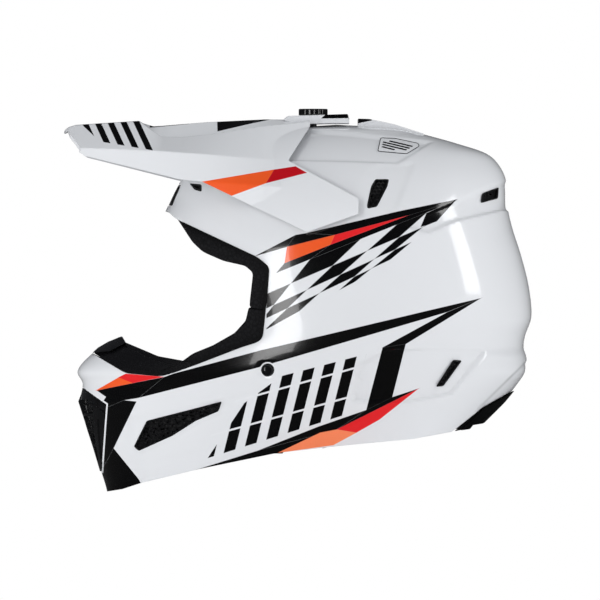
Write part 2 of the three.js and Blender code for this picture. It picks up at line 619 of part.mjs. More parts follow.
addPiece(root, 'outer_shell', outerShell(), glossWhite);
addPiece(root, 'crown_impact_liner', crownImpactLiner(), foamBlack);
addPiece(root, 'chin_impact_liner', chinImpactLiner(), foamBlack);
addPiece(root, 'comfort_liner', comfortLiner(), fabricBlack);
addPiece(root, 'brow_pad', browPad(), fabricBlack);
addPiece(root, 'neck_roll', neckRoll(), fabricBlack);
addPiece(root, 'eyeport_gasket', eyeportGasket(), rubberBlack);
addPiece(root, 'nose_guard', noseGuard(), rubberBlack);
addPiece(root, 'rear_edge_trim', rearEdgeTrim(), rubberBlack);
addPiece(root, 'mouth_vent_frame', mouthVentFrame(), glossBlack);
addPiece(root, 'mouth_vent_grille', mouthVentGrille(), meshBlack);
addPiece(root, 'dust_filter', dustFilter(), foamBlack);
addPiece(root, 'forehead_vent_mesh', foreheadVentMesh(), meshBlack);
for (const [name, outline] of Object.entries(VENTS)) {
  addPair(root, name, (side) => ventInsert(outline, side), meshBlack);
}
addPair(root, 'crown_louvre', louvreInsert, glossWhite);
addPair(root, 'strap_anchor_bolt', strapAnchorBolt, glossBlack);
addPair(root, 'visor_peg', visorPeg, glossBlack);
addPiece(root, 'visor_nut', visorNut(), steel);

const visorGroup = new THREE.Group();
visorGroup.name = 'visor_assembly';
addPiece(visorGroup, 'visor', visor(), glossWhite);
addPiece(visorGroup, 'visor_screw', visorScrew(), glossBlack);

const padGroup = new THREE.Group();
padGroup.name = 'cheek_pads';
addPair(padGroup, 'cheek_pad', cheekPad, fabricBlack);
addPair(padGroup, 'cheek_pad_core', cheekPadCore, foamBlack);
addPair(padGroup, 'cheek_pad_pull_tab', pullTab, redWebbing);

const strapGroup = new THREE.Group();
strapGroup.name = 'chin_straps';
addPair(strapGroup, 'strap_anchor_plate', strapAnchorPlate, steel);
addPiece(strapGroup, 'chin_strap_left', leftStrap(), webbing);
addPiece(strapGroup, 'chin_strap_right', rightStrap(), webbing);
addPair(strapGroup, 'strap_sleeve', strapSleeve, fabricBlack);
addPiece(strapGroup, 'strap_snap', strapSnap(), steel);
addPiece(strapGroup, 'd_ring_upper', dRing(RING_LIFT), steel);
addPiece(strapGroup, 'd_ring_lower', dRing(-RING_LIFT), steel);

// Tip the worn attitude back onto the table, then centre the whole over the origin.
const worn = new THREE.Group();
worn.name = 'worn_attitude';
worn.add(...root.children, visorGroup, padGroup, strapGroup);
worn.rotation.y = STAND_SLOPE;
root.add(worn);
const box = new THREE.Box3().setFromObject(root, true);
worn.position.set(-(box.min.x + box.max.x) / 2, -(box.min.y + box.max.y) / 2, -box.min.z);

export default root;
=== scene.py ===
"""The looks of a motocross helmet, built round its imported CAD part.

Outlines are written in millimetres in the worn attitude, from the centre of the head: x runs rearwards, y to
the wearer's right and z up. place() turns them into the frame's metres, where the helmet stands tipped back.
"""

import json
import math

import bmesh
import bpy
import numpy as np
from mathutils import Matrix, Vector
from mathutils.geometry import tessellate_polygon


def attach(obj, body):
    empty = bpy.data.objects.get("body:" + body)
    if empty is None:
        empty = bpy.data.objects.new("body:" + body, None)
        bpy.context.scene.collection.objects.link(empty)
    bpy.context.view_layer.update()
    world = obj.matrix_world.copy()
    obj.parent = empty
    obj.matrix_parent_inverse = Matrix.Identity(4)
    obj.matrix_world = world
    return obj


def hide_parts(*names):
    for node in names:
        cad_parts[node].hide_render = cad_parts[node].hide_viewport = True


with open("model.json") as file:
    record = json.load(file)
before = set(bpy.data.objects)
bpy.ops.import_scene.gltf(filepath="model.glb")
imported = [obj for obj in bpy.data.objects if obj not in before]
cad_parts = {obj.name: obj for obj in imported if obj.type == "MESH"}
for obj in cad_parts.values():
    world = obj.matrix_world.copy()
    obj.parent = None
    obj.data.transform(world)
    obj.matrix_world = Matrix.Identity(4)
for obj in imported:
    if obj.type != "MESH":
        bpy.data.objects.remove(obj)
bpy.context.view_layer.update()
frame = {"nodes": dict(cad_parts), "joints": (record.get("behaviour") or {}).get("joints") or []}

# ---------- the frame ----------
STAND_SLOPE = math.radians(10)  # worn attitude against standing attitude
PIVOT = (-20.0, 68.0)  # visor pegs
ANCHOR = (-59.0, -65.0)  # chin strap anchor bolts
SCREW_X = -22.0  # the visor screw, on the centre plane
FAR = 400.0  # beyond the helmet on every side
SIDES = {"left": -1, "right": 1}
COS, SIN = math.cos(STAND_SLOPE), math.sin(STAND_SLOPE)
JOINTS = {joint["name"]: joint for joint in frame["joints"]}
peg = JOINTS["visor_tilt"]["pos_m"]
SHIFT = (
    peg[0] - (PIVOT[0] * COS + PIVOT[1] * SIN) / 1000,
    peg[2] - (-PIVOT[0] * SIN + PIVOT[1] * COS) / 1000,
)


def place(points):
    """Points in millimetres in the worn attitude, as metres in the frame."""
    p = np.asarray(points, float).reshape(-1, 3) / 1000
    x = p[:, 0] * COS + p[:, 2] * SIN + SHIFT[0]
    z = -p[:, 0] * SIN + p[:, 2] * COS + SHIFT[1]
    return np.stack([x, p[:, 1], z], axis=1)


def to_worn(point):
    """A point in the frame's metres, as millimetres in the worn attitude."""
    x, z = (point[0] - SHIFT[0]) * 1000, (point[2] - SHIFT[1]) * 1000
    return (x * COS - z * SIN, point[1] * 1000, x * SIN + z * COS)


def span(side, near, far):
    """Two distances from the centre plane on one side, in the order of rising y."""
    return sorted((side * near, side * far))


# ---------- meshes ----------
def make_object(name, points, faces):
    """A mesh object from points in millimetres in the worn attitude."""
    mesh = bpy.data.meshes.new(name)
    mesh.from_pydata(place(points).tolist(), [], faces)
    mesh.validate()
    obj = bpy.data.objects.new(name, mesh)
    bpy.context.scene.collection.objects.link(obj)
    return obj


def recalculate(obj):
    """Turns every face outwards and joins points that lie together."""
    work = bmesh.new()
    work.from_mesh(obj.data)
    bmesh.ops.remove_doubles(work, verts=work.verts, dist=1e-6)
    bmesh.ops.recalc_face_normals(work, faces=work.faces)
    work.to_mesh(obj.data)
    work.free()
    return obj


def grid_faces(rows, columns, wrap):
    """Quads between the points of a grid, stored row by row."""
    spans = columns if wrap else columns - 1
    faces = []
    for row in range(rows - 1):
        for i in range(spans):
            j = (i + 1) % columns
            a, b = row * columns + i, row * columns + j
            faces.append((a, b, b + columns, a + columns))
    return faces


def dome(name, points, around):
    """A closed solid from rings of points, lowest first, and a top point at the end."""
    top = len(points) - 1
    last_ring = top - around
    faces = grid_faces(top // around, around, wrap=True)
    faces += [(last_ring + i, last_ring + (i + 1) % around, top) for i in range(around)]
    faces.append(tuple(range(around))[::-1])
    return recalculate(make_object(name, points, faces))


def apply_modifiers(obj):
    """Turns the object's modifiers into mesh."""
    graph = bpy.context.evaluated_depsgraph_get()
    graph.update()
    mesh = bpy.data.meshes.new_from_object(obj.evaluated_get(graph))
    obj.modifiers.clear()
    obj.data = mesh
    return obj


def boolean(obj, other, operation="DIFFERENCE", solver="MANIFOLD"):
    """Cuts or joins with another object, which is removed."""
    modifier = obj.modifiers.new("boolean", "BOOLEAN")
    modifier.object = other
    modifier.operation = operation
    modifier.solver = solver
    apply_modifiers(obj)
    bpy.data.objects.remove(other)
    return obj


def join(name, objects):
    """One object made of several, which are removed."""
    work = bmesh.new()
    for obj in objects:
        work.from_mesh(obj.data)
        bpy.data.objects.remove(obj)
    mesh = bpy.data.meshes.new(name)
    work.to_mesh(mesh)
    work.free()
    joined = bpy.data.objects.new(name, mesh)
    bpy.context.scene.collection.objects.link(joined)
    return joined


def corner_curve(before, corner, after, radius, steps):
    """A quadratic curve round a corner. It starts `radius` away, or nearer where a side is short."""
    corner = np.array(corner, float)
    ends = []
    for other in (before, after):
        side = np.array(other, float) - corner
        length = np.linalg.norm(side)
        ends.append(corner + side / length * min(radius, length * 0.45))
    times = [k / steps for k in range(steps + 1)]
    return [tuple((1 - t) ** 2 * ends[0] + 2 * t * (1 - t) * corner + t * t * ends[1]) for t in times]


def rounded(points, radius, steps=5):
    """A closed outline with its corners rounded."""
    if radius <= 0:
        return [tuple(p) for p in points]
    made = []
    for i, corner in enumerate(points):
        made += corner_curve(points[i - 1], corner, points[(i + 1) % len(points)], radius, steps)
    return made


def inset(points, distance):
    """The outline with every edge moved inwards."""
    p = np.array(points, float)
    before = p - np.roll(p, 1, axis=0)
    after = np.roll(p, -1, axis=0) - p
    before /= np.linalg.norm(before, axis=1)[:, None]
    after /= np.linalg.norm(after, axis=1)[:, None]
    x, y = p[:, 0], p[:, 1]
    area = np.sum(x * np.roll(y, -1) - np.roll(x, -1) * y)
    normal = np.stack([-before[:, 1] - after[:, 1], before[:, 0] + after[:, 0]], axis=1) * np.sign(area)
    reach = distance / (1 + np.sum(before * after, axis=1))
    return [tuple(q) for q in p + normal * reach[:, None]]


# Where a prism's outline point (a, b) and its sweep t lie in space.
AXES = {
    "x": lambda a, b, t: (t, a, b),
    "y": lambda a, b, t: (a, t, b),
    "z": lambda a, b, t: (a, b, t),
}


def prism(name, outline, axis, low, high, radius=0.0, steps=5):
    """A closed solid swept along an axis: a side outline along y, a front one along x or a plan along z."""
    shape = rounded(outline, radius, steps)
    at = AXES[axis]
    count = len(shape)
    points = [at(a, b, low) for a, b in shape] + [at(a, b, high) for a, b in shape]
    faces = [tuple(range(count))[::-1], tuple(range(count, 2 * count))]
    faces += [(i, (i + 1) % count, count + (i + 1) % count, count + i) for i in range(count)]
    return recalculate(make_object(name, points, faces))


def smooth(obj, angle=32):
    """Smooth shading with sharp edges above an angle in degrees, weighted by face area."""
    obj.data.shade_smooth()
    obj.data.set_sharp_from_angle(angle=math.radians(angle))
    weighted = obj.modifiers.new("normals", "WEIGHTED_NORMAL")
    weighted.keep_sharp = True
    return obj


def finish_piece(obj, body, material, slot, *nodes):
    """Gives a piece its material and its body, and hides the CAD nodes that it stands for."""
    obj.data.materials.clear()
    obj.data.materials.append(material)
    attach(obj, body)
    if nodes:
        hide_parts(*nodes)
    return obj


LOOKS_INWARDS = -20.0  # how far from the axis a face's plane lies, in millimetres, if it faces the axis


def line_inside(obj, lining, is_inner):
    """Gives a second material to the faces for which is_inner(centres, normals) holds."""
    count = len(obj.data.polygons)
    centres, normals = np.zeros(count * 3, np.float32), np.zeros(count * 3, np.float32)
    obj.data.polygons.foreach_get("center", centres)
    obj.data.polygons.foreach_get("normal", normals)
    worn = np.array([to_worn(p) for p in centres.reshape(-1, 3)])
    turned = [(n[0] * COS - n[2] * SIN, n[1], n[0] * SIN + n[2] * COS) for n in normals.reshape(-1, 3)]
    obj.data.materials.append(lining)
    obj.data.polygons.foreach_set("material_index", is_inner(worn, np.array(turned)).astype(np.int32))
    obj.data.update()


def faces_shell_inside(centres, normals):
    """Faces of the shell's inner wall, and of the crest's underside."""
    deep = np.abs(centres[:, 1]) < half_width(centres[:, 0], centres[:, 2], 3.5) + 0.2
    deep |= centres[:, 2] > 122
    return deep & (((centres - (10, 0, 0)) * normals).sum(axis=1) < LOOKS_INWARDS)


def faces_visor_inside(centres, normals):
    """Faces of the visor's underside."""
    return ((centres - (0, 0, VISOR_AXIS)) * (0, 1, 1) * normals).sum(axis=1) < LOOKS_INWARDS


def smoothstep(value, low, high):
    """0 below low, 1 above high and a smooth rise between."""
    t = np.clip((value - low) / (high - low), 0, 1)
    return t * t * (3 - 2 * t)


def signed_distance(x, z, outline):
    """Distance to an outline in side view, positive inside."""
    x, z = np.broadcast_arrays(np.asarray(x, float), np.asarray(z, float))
    nearest = np.full(x.shape, 1e9)
    inside = np.zeros(x.shape, bool)
    count = len(outline)
    for i in range(count):
        (ax, az), (bx, bz) = outline[i], outline[(i + 1) % count]
        dx, dz = bx - ax, bz - az
        t = np.clip(((x - ax) * dx + (z - az) * dz) / (dx * dx + dz * dz), 0, 1)
        nearest = np.minimum(nearest, np.hypot(x - ax - t * dx, z - az - t * dz))
        if az != bz:
            crosses = ((az > z) != (bz > z)) & (x < (bx - ax) * (z - az) / (bz - az) + ax)
            inside ^= crosses
    return np.where(inside, nearest, -nearest)


# ---------- the shell's form, as in the CAD part ----------
SHELL_HALF_WIDTH = 124.0
SHELL_HEIGHT = 135.5
SHELL_WALL = 4.0
FLAT_REACH = 150.0
REAR_ROUNDNESS, BROW_ROUNDNESS, CHIN_ROUNDNESS = 2.25, 2.2, 1.82
# [z, foremost x, rearmost x, half width, x of the widest point]
SECTIONS = np.array([
    [-185, -189, 70, 80, 22], [-165, -192, 88, 87, 22], [-148, -197, 99, 93, 22],
    [-128, -203, 108, 98.5, 22], [-109, -209, 121, 105, 22], [-92, -213, 135, 111, 22],
    [-77, -211, 147, 116, 22], [-66, -215, 153.5, 119, 22], [-52, -203, 152.5, 121.5, 22],
    [-38, -182, 153, 123, 22], [-20, -176, 157, 124, 24], [4, -169, 154.5, 124, 26],
    [28, -159, 148.5, 122, 28], [50, -149, 141.5, 118, 30], [68, -141.5, 137.5, 111.5, 30],
    [88, -131.5, 136.5, 99.5, 28], [102, -119, 130.5, 88, 24], [112, -105, 119.5, 76.5, 20],
    [120, -88, 96, 64, 14], [127, -68, 71, 49, 8], [132.5, -45, 48, 32, 2], [SHELL_HEIGHT, -3, -3, 0, -3],
])
CROWN_SECTIONS = 4  # the last spans, where the form closes quickly


def section_at(rows):
    """The sections' numbers at fractional rows, on a Catmull-Rom curve."""
    last = len(SECTIONS) - 1
    i = np.minimum(np.floor(rows).astype(int), last - 1)
    t = (rows - i)[:, None]
    a, b, c, d = (SECTIONS[np.clip(i + k, 0, last)] for k in (-1, 0, 1, 2))
    slope0, slope1 = (c - a) / 2, (d - b) / 2
    t2, t3 = t * t, t * t * t
    return (2 * t3 - 3 * t2 + 1) * b + (t3 - 2 * t2 + t) * slope0 + (3 * t2 - 2 * t3) * c + (t3 - t2) * slope1


TABLE = section_at(np.linspace(0, len(SECTIONS) - 1, 1200))


def roundness(z, forward):
    """Exponent of the form's plan outline: 2 is an ellipse, more is squarer."""
    front = CHIN_ROUNDNESS + (BROW_ROUNDNESS - CHIN_ROUNDNESS) * smoothstep(z, -60, 60)
    return np.where(forward, front, REAR_ROUNDNESS)


def half_width(x, z, depth=0.0):
    """Half width of the shell's form, moved in by `depth`, at points of the side view. 0 outside it."""
    z = np.where(z > 0, z / (1 - depth / SHELL_HEIGHT), z)
    front, rear, half, widest = (np.interp(z, TABLE[:, 0], TABLE[:, k]) for k in (1, 2, 3, 4))
    forward = x < widest
    reach = np.maximum(np.where(forward, widest - front, rear - widest), 1e-6)
    power = roundness(z, forward)
    share = np.abs(x - widest) / (reach * (1 - depth / np.maximum(reach, FLAT_REACH)))
    inside = np.maximum(1 - np.clip(share, 0, 1) ** power, 0)
    return np.where(z < SHELL_HEIGHT, half * inside ** (1 / power) * (1 - depth / SHELL_HALF_WIDTH), 0)


def form_points(rows, turns, relief=None, depth=0.0):
    """A grid of points on the shell's form. A relief gives the depth at points of the side view."""
    section = section_at(rows)[:, None, :]
    z, front, rear, half, widest = (section[..., k] for k in range(5))
    turn = np.linspace(0, 2 * math.pi, turns, endpoint=False)[None, :]
    cos, sin = np.cos(turn), np.sin(turn)
    forward = cos < 0
    power = 2 / roundness(z, forward)
    reach = np.where(forward, widest - front, rear - widest)
    along = np.sign(cos) * np.abs(cos) ** power
    across = np.sign(sin) * np.abs(sin) ** power
    z = np.broadcast_to(z, along.shape)
    half = np.broadcast_to(half, along.shape)
    if relief is not None:
        depth = relief(widest + reach * along, z)
    x = widest + reach * along * (1 - depth / np.maximum(reach, FLAT_REACH))
    y = half * across * (1 - depth / SHELL_HALF_WIDTH)
    return np.stack([x, y, np.where(z > 0, z * (1 - depth / SHELL_HEIGHT), z)], axis=-1)


def form_object(name, rows, turns, relief=None, depth=0.0):
    """The shell's form as a closed solid. The last row is the crown's single point."""
    grid = form_points(rows, turns, relief, depth)
    return dome(name, np.concatenate([grid[:-1].reshape(-1, 3), grid[-1:, 0]]), turns)


def fine_rows(low, high):
    """Fractional rows: `low` steps for a section of the sides, `high` for one of the crown."""
    last = len(SECTIONS) - 1
    crown = last - CROWN_SECTIONS
    side = np.arange(0, crown * low) / low
    top = crown + np.arange(0, (last - crown) * high + 1) / high
    return np.concatenate([side, top])


# ---------- outlines in side view ----------
EYE_PORT = [
    (-FAR, 66), (-141, 64.5), (-135, 58.5), (-67, 26.5), (-57.5, 18.5), (-59, -1.5), (-63, -38.5),
    (-67, -42.5), (-80, -46.5), (-115, -60), (-134, -67), (-146, -70.5), (-175, -68), (-203.5, -51.5),
    (-FAR, 60),
]
CHIN_FOOT = (-190.0, -165.0)


def table_at(x):
    """Height of the table in the worn attitude."""
    return CHIN_FOOT[1] + (x - CHIN_FOOT[0]) * math.tan(STAND_SLOPE)


RIM = [
    (-FAR, table_at(-FAR)), (-178, table_at(-178)), (-162, -157.5), (-115, -146), (-51, -132.5), (2, -126.5),
    (60, -121), (78, table_at(78)), (91, table_at(91)), (116, -96), (142, -82), (FAR, -82), (FAR, -FAR),
    (-FAR, -FAR),
]
MOUTH_CUT = [(-FAR, -79), (-212, -79), (-191, -93.5), (-192.5, -111), (-195.5, -149), (-FAR, -149)]
VENTS = {
    "temple_vent_mesh": [
        (28.4, 90), (39.6, 90), (38.2, 84), (29.7, 67.5), (22.2, 66), (21.4, 68), (24.9, 84),
    ],
    "rear_vent_mesh": [(115.6, 78.7), (129.7, 84), (128.9, 74.7), (114.3, 70.7)],
    "lower_vent_mesh": [(91.6, -56.8), (98.8, -57.4), (83.6, -78.2), (77.5, -78.7)],
    "chin_side_mesh": [
        (-157.8, -106.7), (-96.4, -90.7), (-99.1, -98.7), (-117.8, -106.7), (-136.4, -118.7),
        (-164.5, -131.5), (-168.5, -128),
    ],
    "brow_vent_mesh": [(-123.1, 87.2), (-113, 86.1), (-113, 80), (-119.1, 81.9)],
}
CROWN_LOUVRE = [(32.9, 124.5), (44.9, 124), (63.6, 120), (64.9, 117.3), (54.2, 110.7), (30.2, 112.8)]
FOREHEAD_VENT = [(-150, 68.8), (-137.4, 68.8), (-130, 86.5), (-142, 90)]
CREST = [(14.5, 120), (14.5, 140.3), (24, 140), (44, 135.8), (69, 127.8), (66, 120)]
CREST_HALF_WIDTH = 20.0

# Sculpted facets of the shell: outline, depth, width of the edge's ramp.
FACETS = [
    ([(-60, 128), (-45, 134), (8, 129.5), (78, 121.8), (47.3, 102), (8.2, 103.6), (-60, 105)], 1.8, 3.0),
    ([(30, 104), (62.3, 105.3), (47, 66), (36, 48), (10, 60), (20, 90)], 1.0, 4.0),
    ([(165, 92), (137, 90.5), (108, 79.4), (71, 64), (45, 52), (71.5, 45.5), (93, 54.7), (133, 64),
      (165, 64)], 2.4, 3.5),
    ([(38, -47.5), (114, -47), (120.4, -50.5), (91.5, -85.8), (57, -92), (8, -92), (14, -60)], 3.6, 3.6),
    ([(-176, -103), (-158, -102.5), (-93, -86.5), (-94, -100), (-118, -110.5), (-137, -122.5), (-165, -136),
      (-173, -129)], 1.3, 2.5),
    ([(109.8, -97), (150.8, -57.6), (175, -50), (175, -110), (120, -120)], 2.0, 4.0),
    ([(-118, -92), (-62, -78), (-66, -88), (-100, -100)], 0.8, 5.0),
    ([(-215, -131), (-185, -129), (-172, -139.5), (-60, -118), (30, -100), (30, -140), (-215, -175)],
     1.0, 5.0),
]
WAIST_DEPTH = 2.2  # the rear draws in above its lower pocket
RIVET_DISH = 1.2  # the flat round the strap's rivet
MOST_RELIEF = 3.1  # so that the wall stays whole


def relief(x, z):
    """How far the sculpted surface lies inside the plain form."""
    depth = np.zeros(x.shape)
    for outline, deep, ramp in FACETS:
        depth += deep * smoothstep(signed_distance(x, z, outline), 0, ramp)
    waist = smoothstep(-z, 22, 46) * smoothstep(x, 35, 75) * WAIST_DEPTH
    depth += waist * (1 - smoothstep(-z, 47, 55))
    depth += RIVET_DISH * (1 - smoothstep(np.hypot(x - ANCHOR[0], z - ANCHOR[1]), 5.6, 7.2))
    return np.minimum(depth, MOST_RELIEF)


RIVET_HOLE, PEG_HOLE, SCREW_HOLE = 5.3, 4.8, 3.3  # radii


def outer_shell():
    """The sculpted shell with its crest, hollowed and cut for the eye port, the vents and the fasteners."""
    shell = form_object("helmet_shell", fine_rows(10, 14), 344, relief)
    crest = prism("crest", CREST, "y", -CREST_HALF_WIDTH, CREST_HALF_WIDTH, 1.2)
    bevel(crest, 1.5)
    boolean(shell, crest, "UNION")
    boolean(shell, form_object("inner_form", fine_rows(4, 4), 96, depth=SHELL_WALL))
    cutters = [prism("cut", EYE_PORT, "y", -FAR, FAR, 4), prism("cut", MOUTH_CUT, "y", -FAR, FAR)]
    for vent in (*VENTS.values(), CROWN_LOUVRE, FOREHEAD_VENT):
        cutters.append(prism("cut", vent, "y", -FAR, FAR, 1.5))
    cutters.append(prism("cut", circle(ANCHOR, RIVET_HOLE), "y", -FAR, FAR))
    cutters.append(prism("cut", circle(PIVOT, PEG_HOLE), "y", -FAR, FAR))
    boolean(shell, join("cutters", cutters))
    boolean(shell, prism("rim", RIM, "y", -FAR, FAR))
    boolean(shell, prism("screw_hole", circle((SCREW_X, 0), SCREW_HOLE), "z", 100, 160))
    return smooth(shell)


def bevel(obj, width, segments=3, angle=25):
    """Rounds the sharp edges of a piece, and applies it."""
    modifier = obj.modifiers.new("bevel", "BEVEL")
    modifier.width = width / 1000
    modifier.segments = segments
    modifier.limit_method = "ANGLE"
    modifier.angle_limit = math.radians(angle)
    modifier.harden_normals = False
    return apply_modifiers(obj)


def circle(centre, radius, steps=40):
    turns = [math.tau * k / steps for k in range(steps)]
    return [(centre[0] + radius * math.cos(t), centre[1] + radius * math.sin(t)) for t in turns]


# ---------- visor ----------
VISOR_WALL, VISOR_CLEARANCE = 2.6, 3.4
# [x, spine z, rim z, crease half width, crease z, edge half width]
VISOR_SECTIONS = np.array([
    [-230, 126.5, 125.5, 70, 114.6, 74],
    [-226.8, 129.6, 128.8, 71, 115, 75],
    [-224.6, 133, 132, 72, 115.3, 76.5],
    [-216.6, 135.4, 134.6, 75, 115.8, 79],
    [-193.9, 136.9, 136, 79, 115.2, 82],
    [-164.6, 138.7, 137.8, 82.5, 113.8, 86],
    [-161.7, 136.8, 136.2, 82.8, 113.7, 86.2],
    [-153, 134.2, 130, 83.6, 113.4, 87.5],
    [-146, 134.6, 125.4, 84.2, 113.1, 88.5],
    [-129.4, 136, 125, 85.5, 111.8, 91],
    [-108.9, 137.6, 126.9, 87, 110.4, 94.5],
    [-62.1, 139.9, 134, 84.5, 106.4, 102.5],
    [-25.5, 139.6, 137.2, 76, 104, 100],
    [20, 138, 136, 60, 100, 90],
])
VISOR_OUTLINE = [
    (-226.6, 129.3), (-217.8, 137.6), (-217.8, 190), (60, 190), (60, 61.5), (14.5, 61.5), (-27, 46.7),
    (-88.6, 76.5), (-112.4, 88), (-131.2, 90), (-208.4, 109.3), (-212.4, 112),
]
VISOR_REAR_CUT = [(-42.3, 105.3), (-24.6, 133.4), (-24.6, 200), (80, 200), (80, 50), (14.5, 61.5), (15, 74)]
VISOR_FRONT = [(-226.6, 0), (-225, 26), (-220.5, 52), (-211, 78), (-206, 90), (-206, 120), (60, 130)]
VISOR_AXIS = 60.0  # height of the line that the visor is drawn round
VISOR_REACH = math.radians(118)  # how far round that line it goes on each side
TAB_HALF_WIDTH = 27.0


def visor_radius(x, angle):
    """Distance from the visor's axis to its surface in a cross plane, by bisection."""
    spine, rim, crease_y, crease_z, edge_y = (np.interp(x, VISOR_SECTIONS[:, 0], VISOR_SECTIONS[:, k])
                                              for k in (1, 2, 3, 4, 5))
    lift = np.clip((rim - spine) / -3, 0, 1)  # 0 on the flat front panel, 1 along the channel
    knots_y = [0 * spine, 0.26 * crease_y, 0.5 * crease_y, 0.55 * crease_y, crease_y, edge_y]
    knots_z = [spine, spine - 0.4, rim - 1.4 * lift, rim, crease_z, crease_z - 22]
    sin, cos = np.sin(angle), np.cos(angle)
    low, high = np.zeros_like(x), np.full_like(x, 260.0)
    for _ in range(26):
        middle = (low + high) / 2
        y, z = middle * sin, VISOR_AXIS + middle * cos
        inside = under_profile(y, z, knots_y, knots_z) | (y < shell_reach(x, z))
        low, high = np.where(inside, middle, low), np.where(inside, high, middle)
    return low


def under_profile(y, z, knots_y, knots_z):
    """True under the visor's half profile, whose last stretch falls straight down."""
    height = np.full(y.shape, -1e3)
    for (y0, z0), (y1, z1) in zip(zip(knots_y, knots_z), zip(knots_y[1:], knots_z[1:])):
        t = (y - y0) / np.maximum(y1 - y0, 1e-6)
        height = np.where((t >= 0) & (t <= 1), z0 + (z1 - z0) * t, height)
    return (z < height) | ((z < knots_z[-1]) & (y < knots_y[-1]))


def shell_reach(x, z):
    """Half width of the form that clears the shell, at the visor's outer face."""
    return half_width(x, z, -(VISOR_CLEARANCE + VISOR_WALL))


def visor():
    """The visor as one moulded sheet, trimmed by its side outline and its plan."""
    stations = np.linspace(-229, 20, 200)
    angles = np.linspace(0, VISOR_REACH, 190)
    angles = np.concatenate([-angles[:0:-1], angles])
    x, angle = np.meshgrid(stations, angles, indexing="ij")
    radius = visor_radius(x, np.abs(angle))
    outer = np.stack([x, radius * np.sin(angle), VISOR_AXIS + radius * np.cos(angle)], axis=-1)
    inner = outer.copy()
    thin = radius - VISOR_WALL * 1.15
    inner[..., 1] = thin * np.sin(angle)
    inner[..., 2] = VISOR_AXIS + thin * np.cos(angle)
    skin = closed_sheet("visor_skin", outer, inner)
    boolean(skin, prism("outline", VISOR_OUTLINE, "y", -FAR, FAR, 1.5), "INTERSECT")
    plan = VISOR_FRONT + [(px, -py) for px, py in VISOR_FRONT[:0:-1]]
    boolean(skin, prism("plan", plan, "z", 0, 220, 3), "INTERSECT")
    for side in (-1, 1):
        boolean(skin, prism("rear", VISOR_REAR_CUT, "y", *span(side, TAB_HALF_WIDTH, FAR), 1.5))
    boolean(skin, prism("behind", [(7.5, 90), (80, 90), (80, 200), (7.5, 200)], "y", -80, 80))
    return smooth(skin, 24)


def closed_sheet(name, outer, inner):
    """A closed solid between two grids of points."""
    rows, columns = outer.shape[:2]
    points = np.concatenate([outer.reshape(-1, 3), inner.reshape(-1, 3)])
    faces = grid_faces(rows, columns, wrap=False)
    base = rows * columns
    faces += [tuple(base + i for i in reversed(f)) for f in faces]
    edge = list(range(columns))
    edge += [r * columns + columns - 1 for r in range(1, rows)]
    edge += [(rows - 1) * columns + c for c in range(columns - 2, -1, -1)]
    edge += [r * columns for r in range(rows - 2, 0, -1)]
    for a, b in zip(edge, edge[1:] + edge[:1]):
        faces.append((a, b, base + b, base + a))
    return recalculate(make_object(name, points, faces))


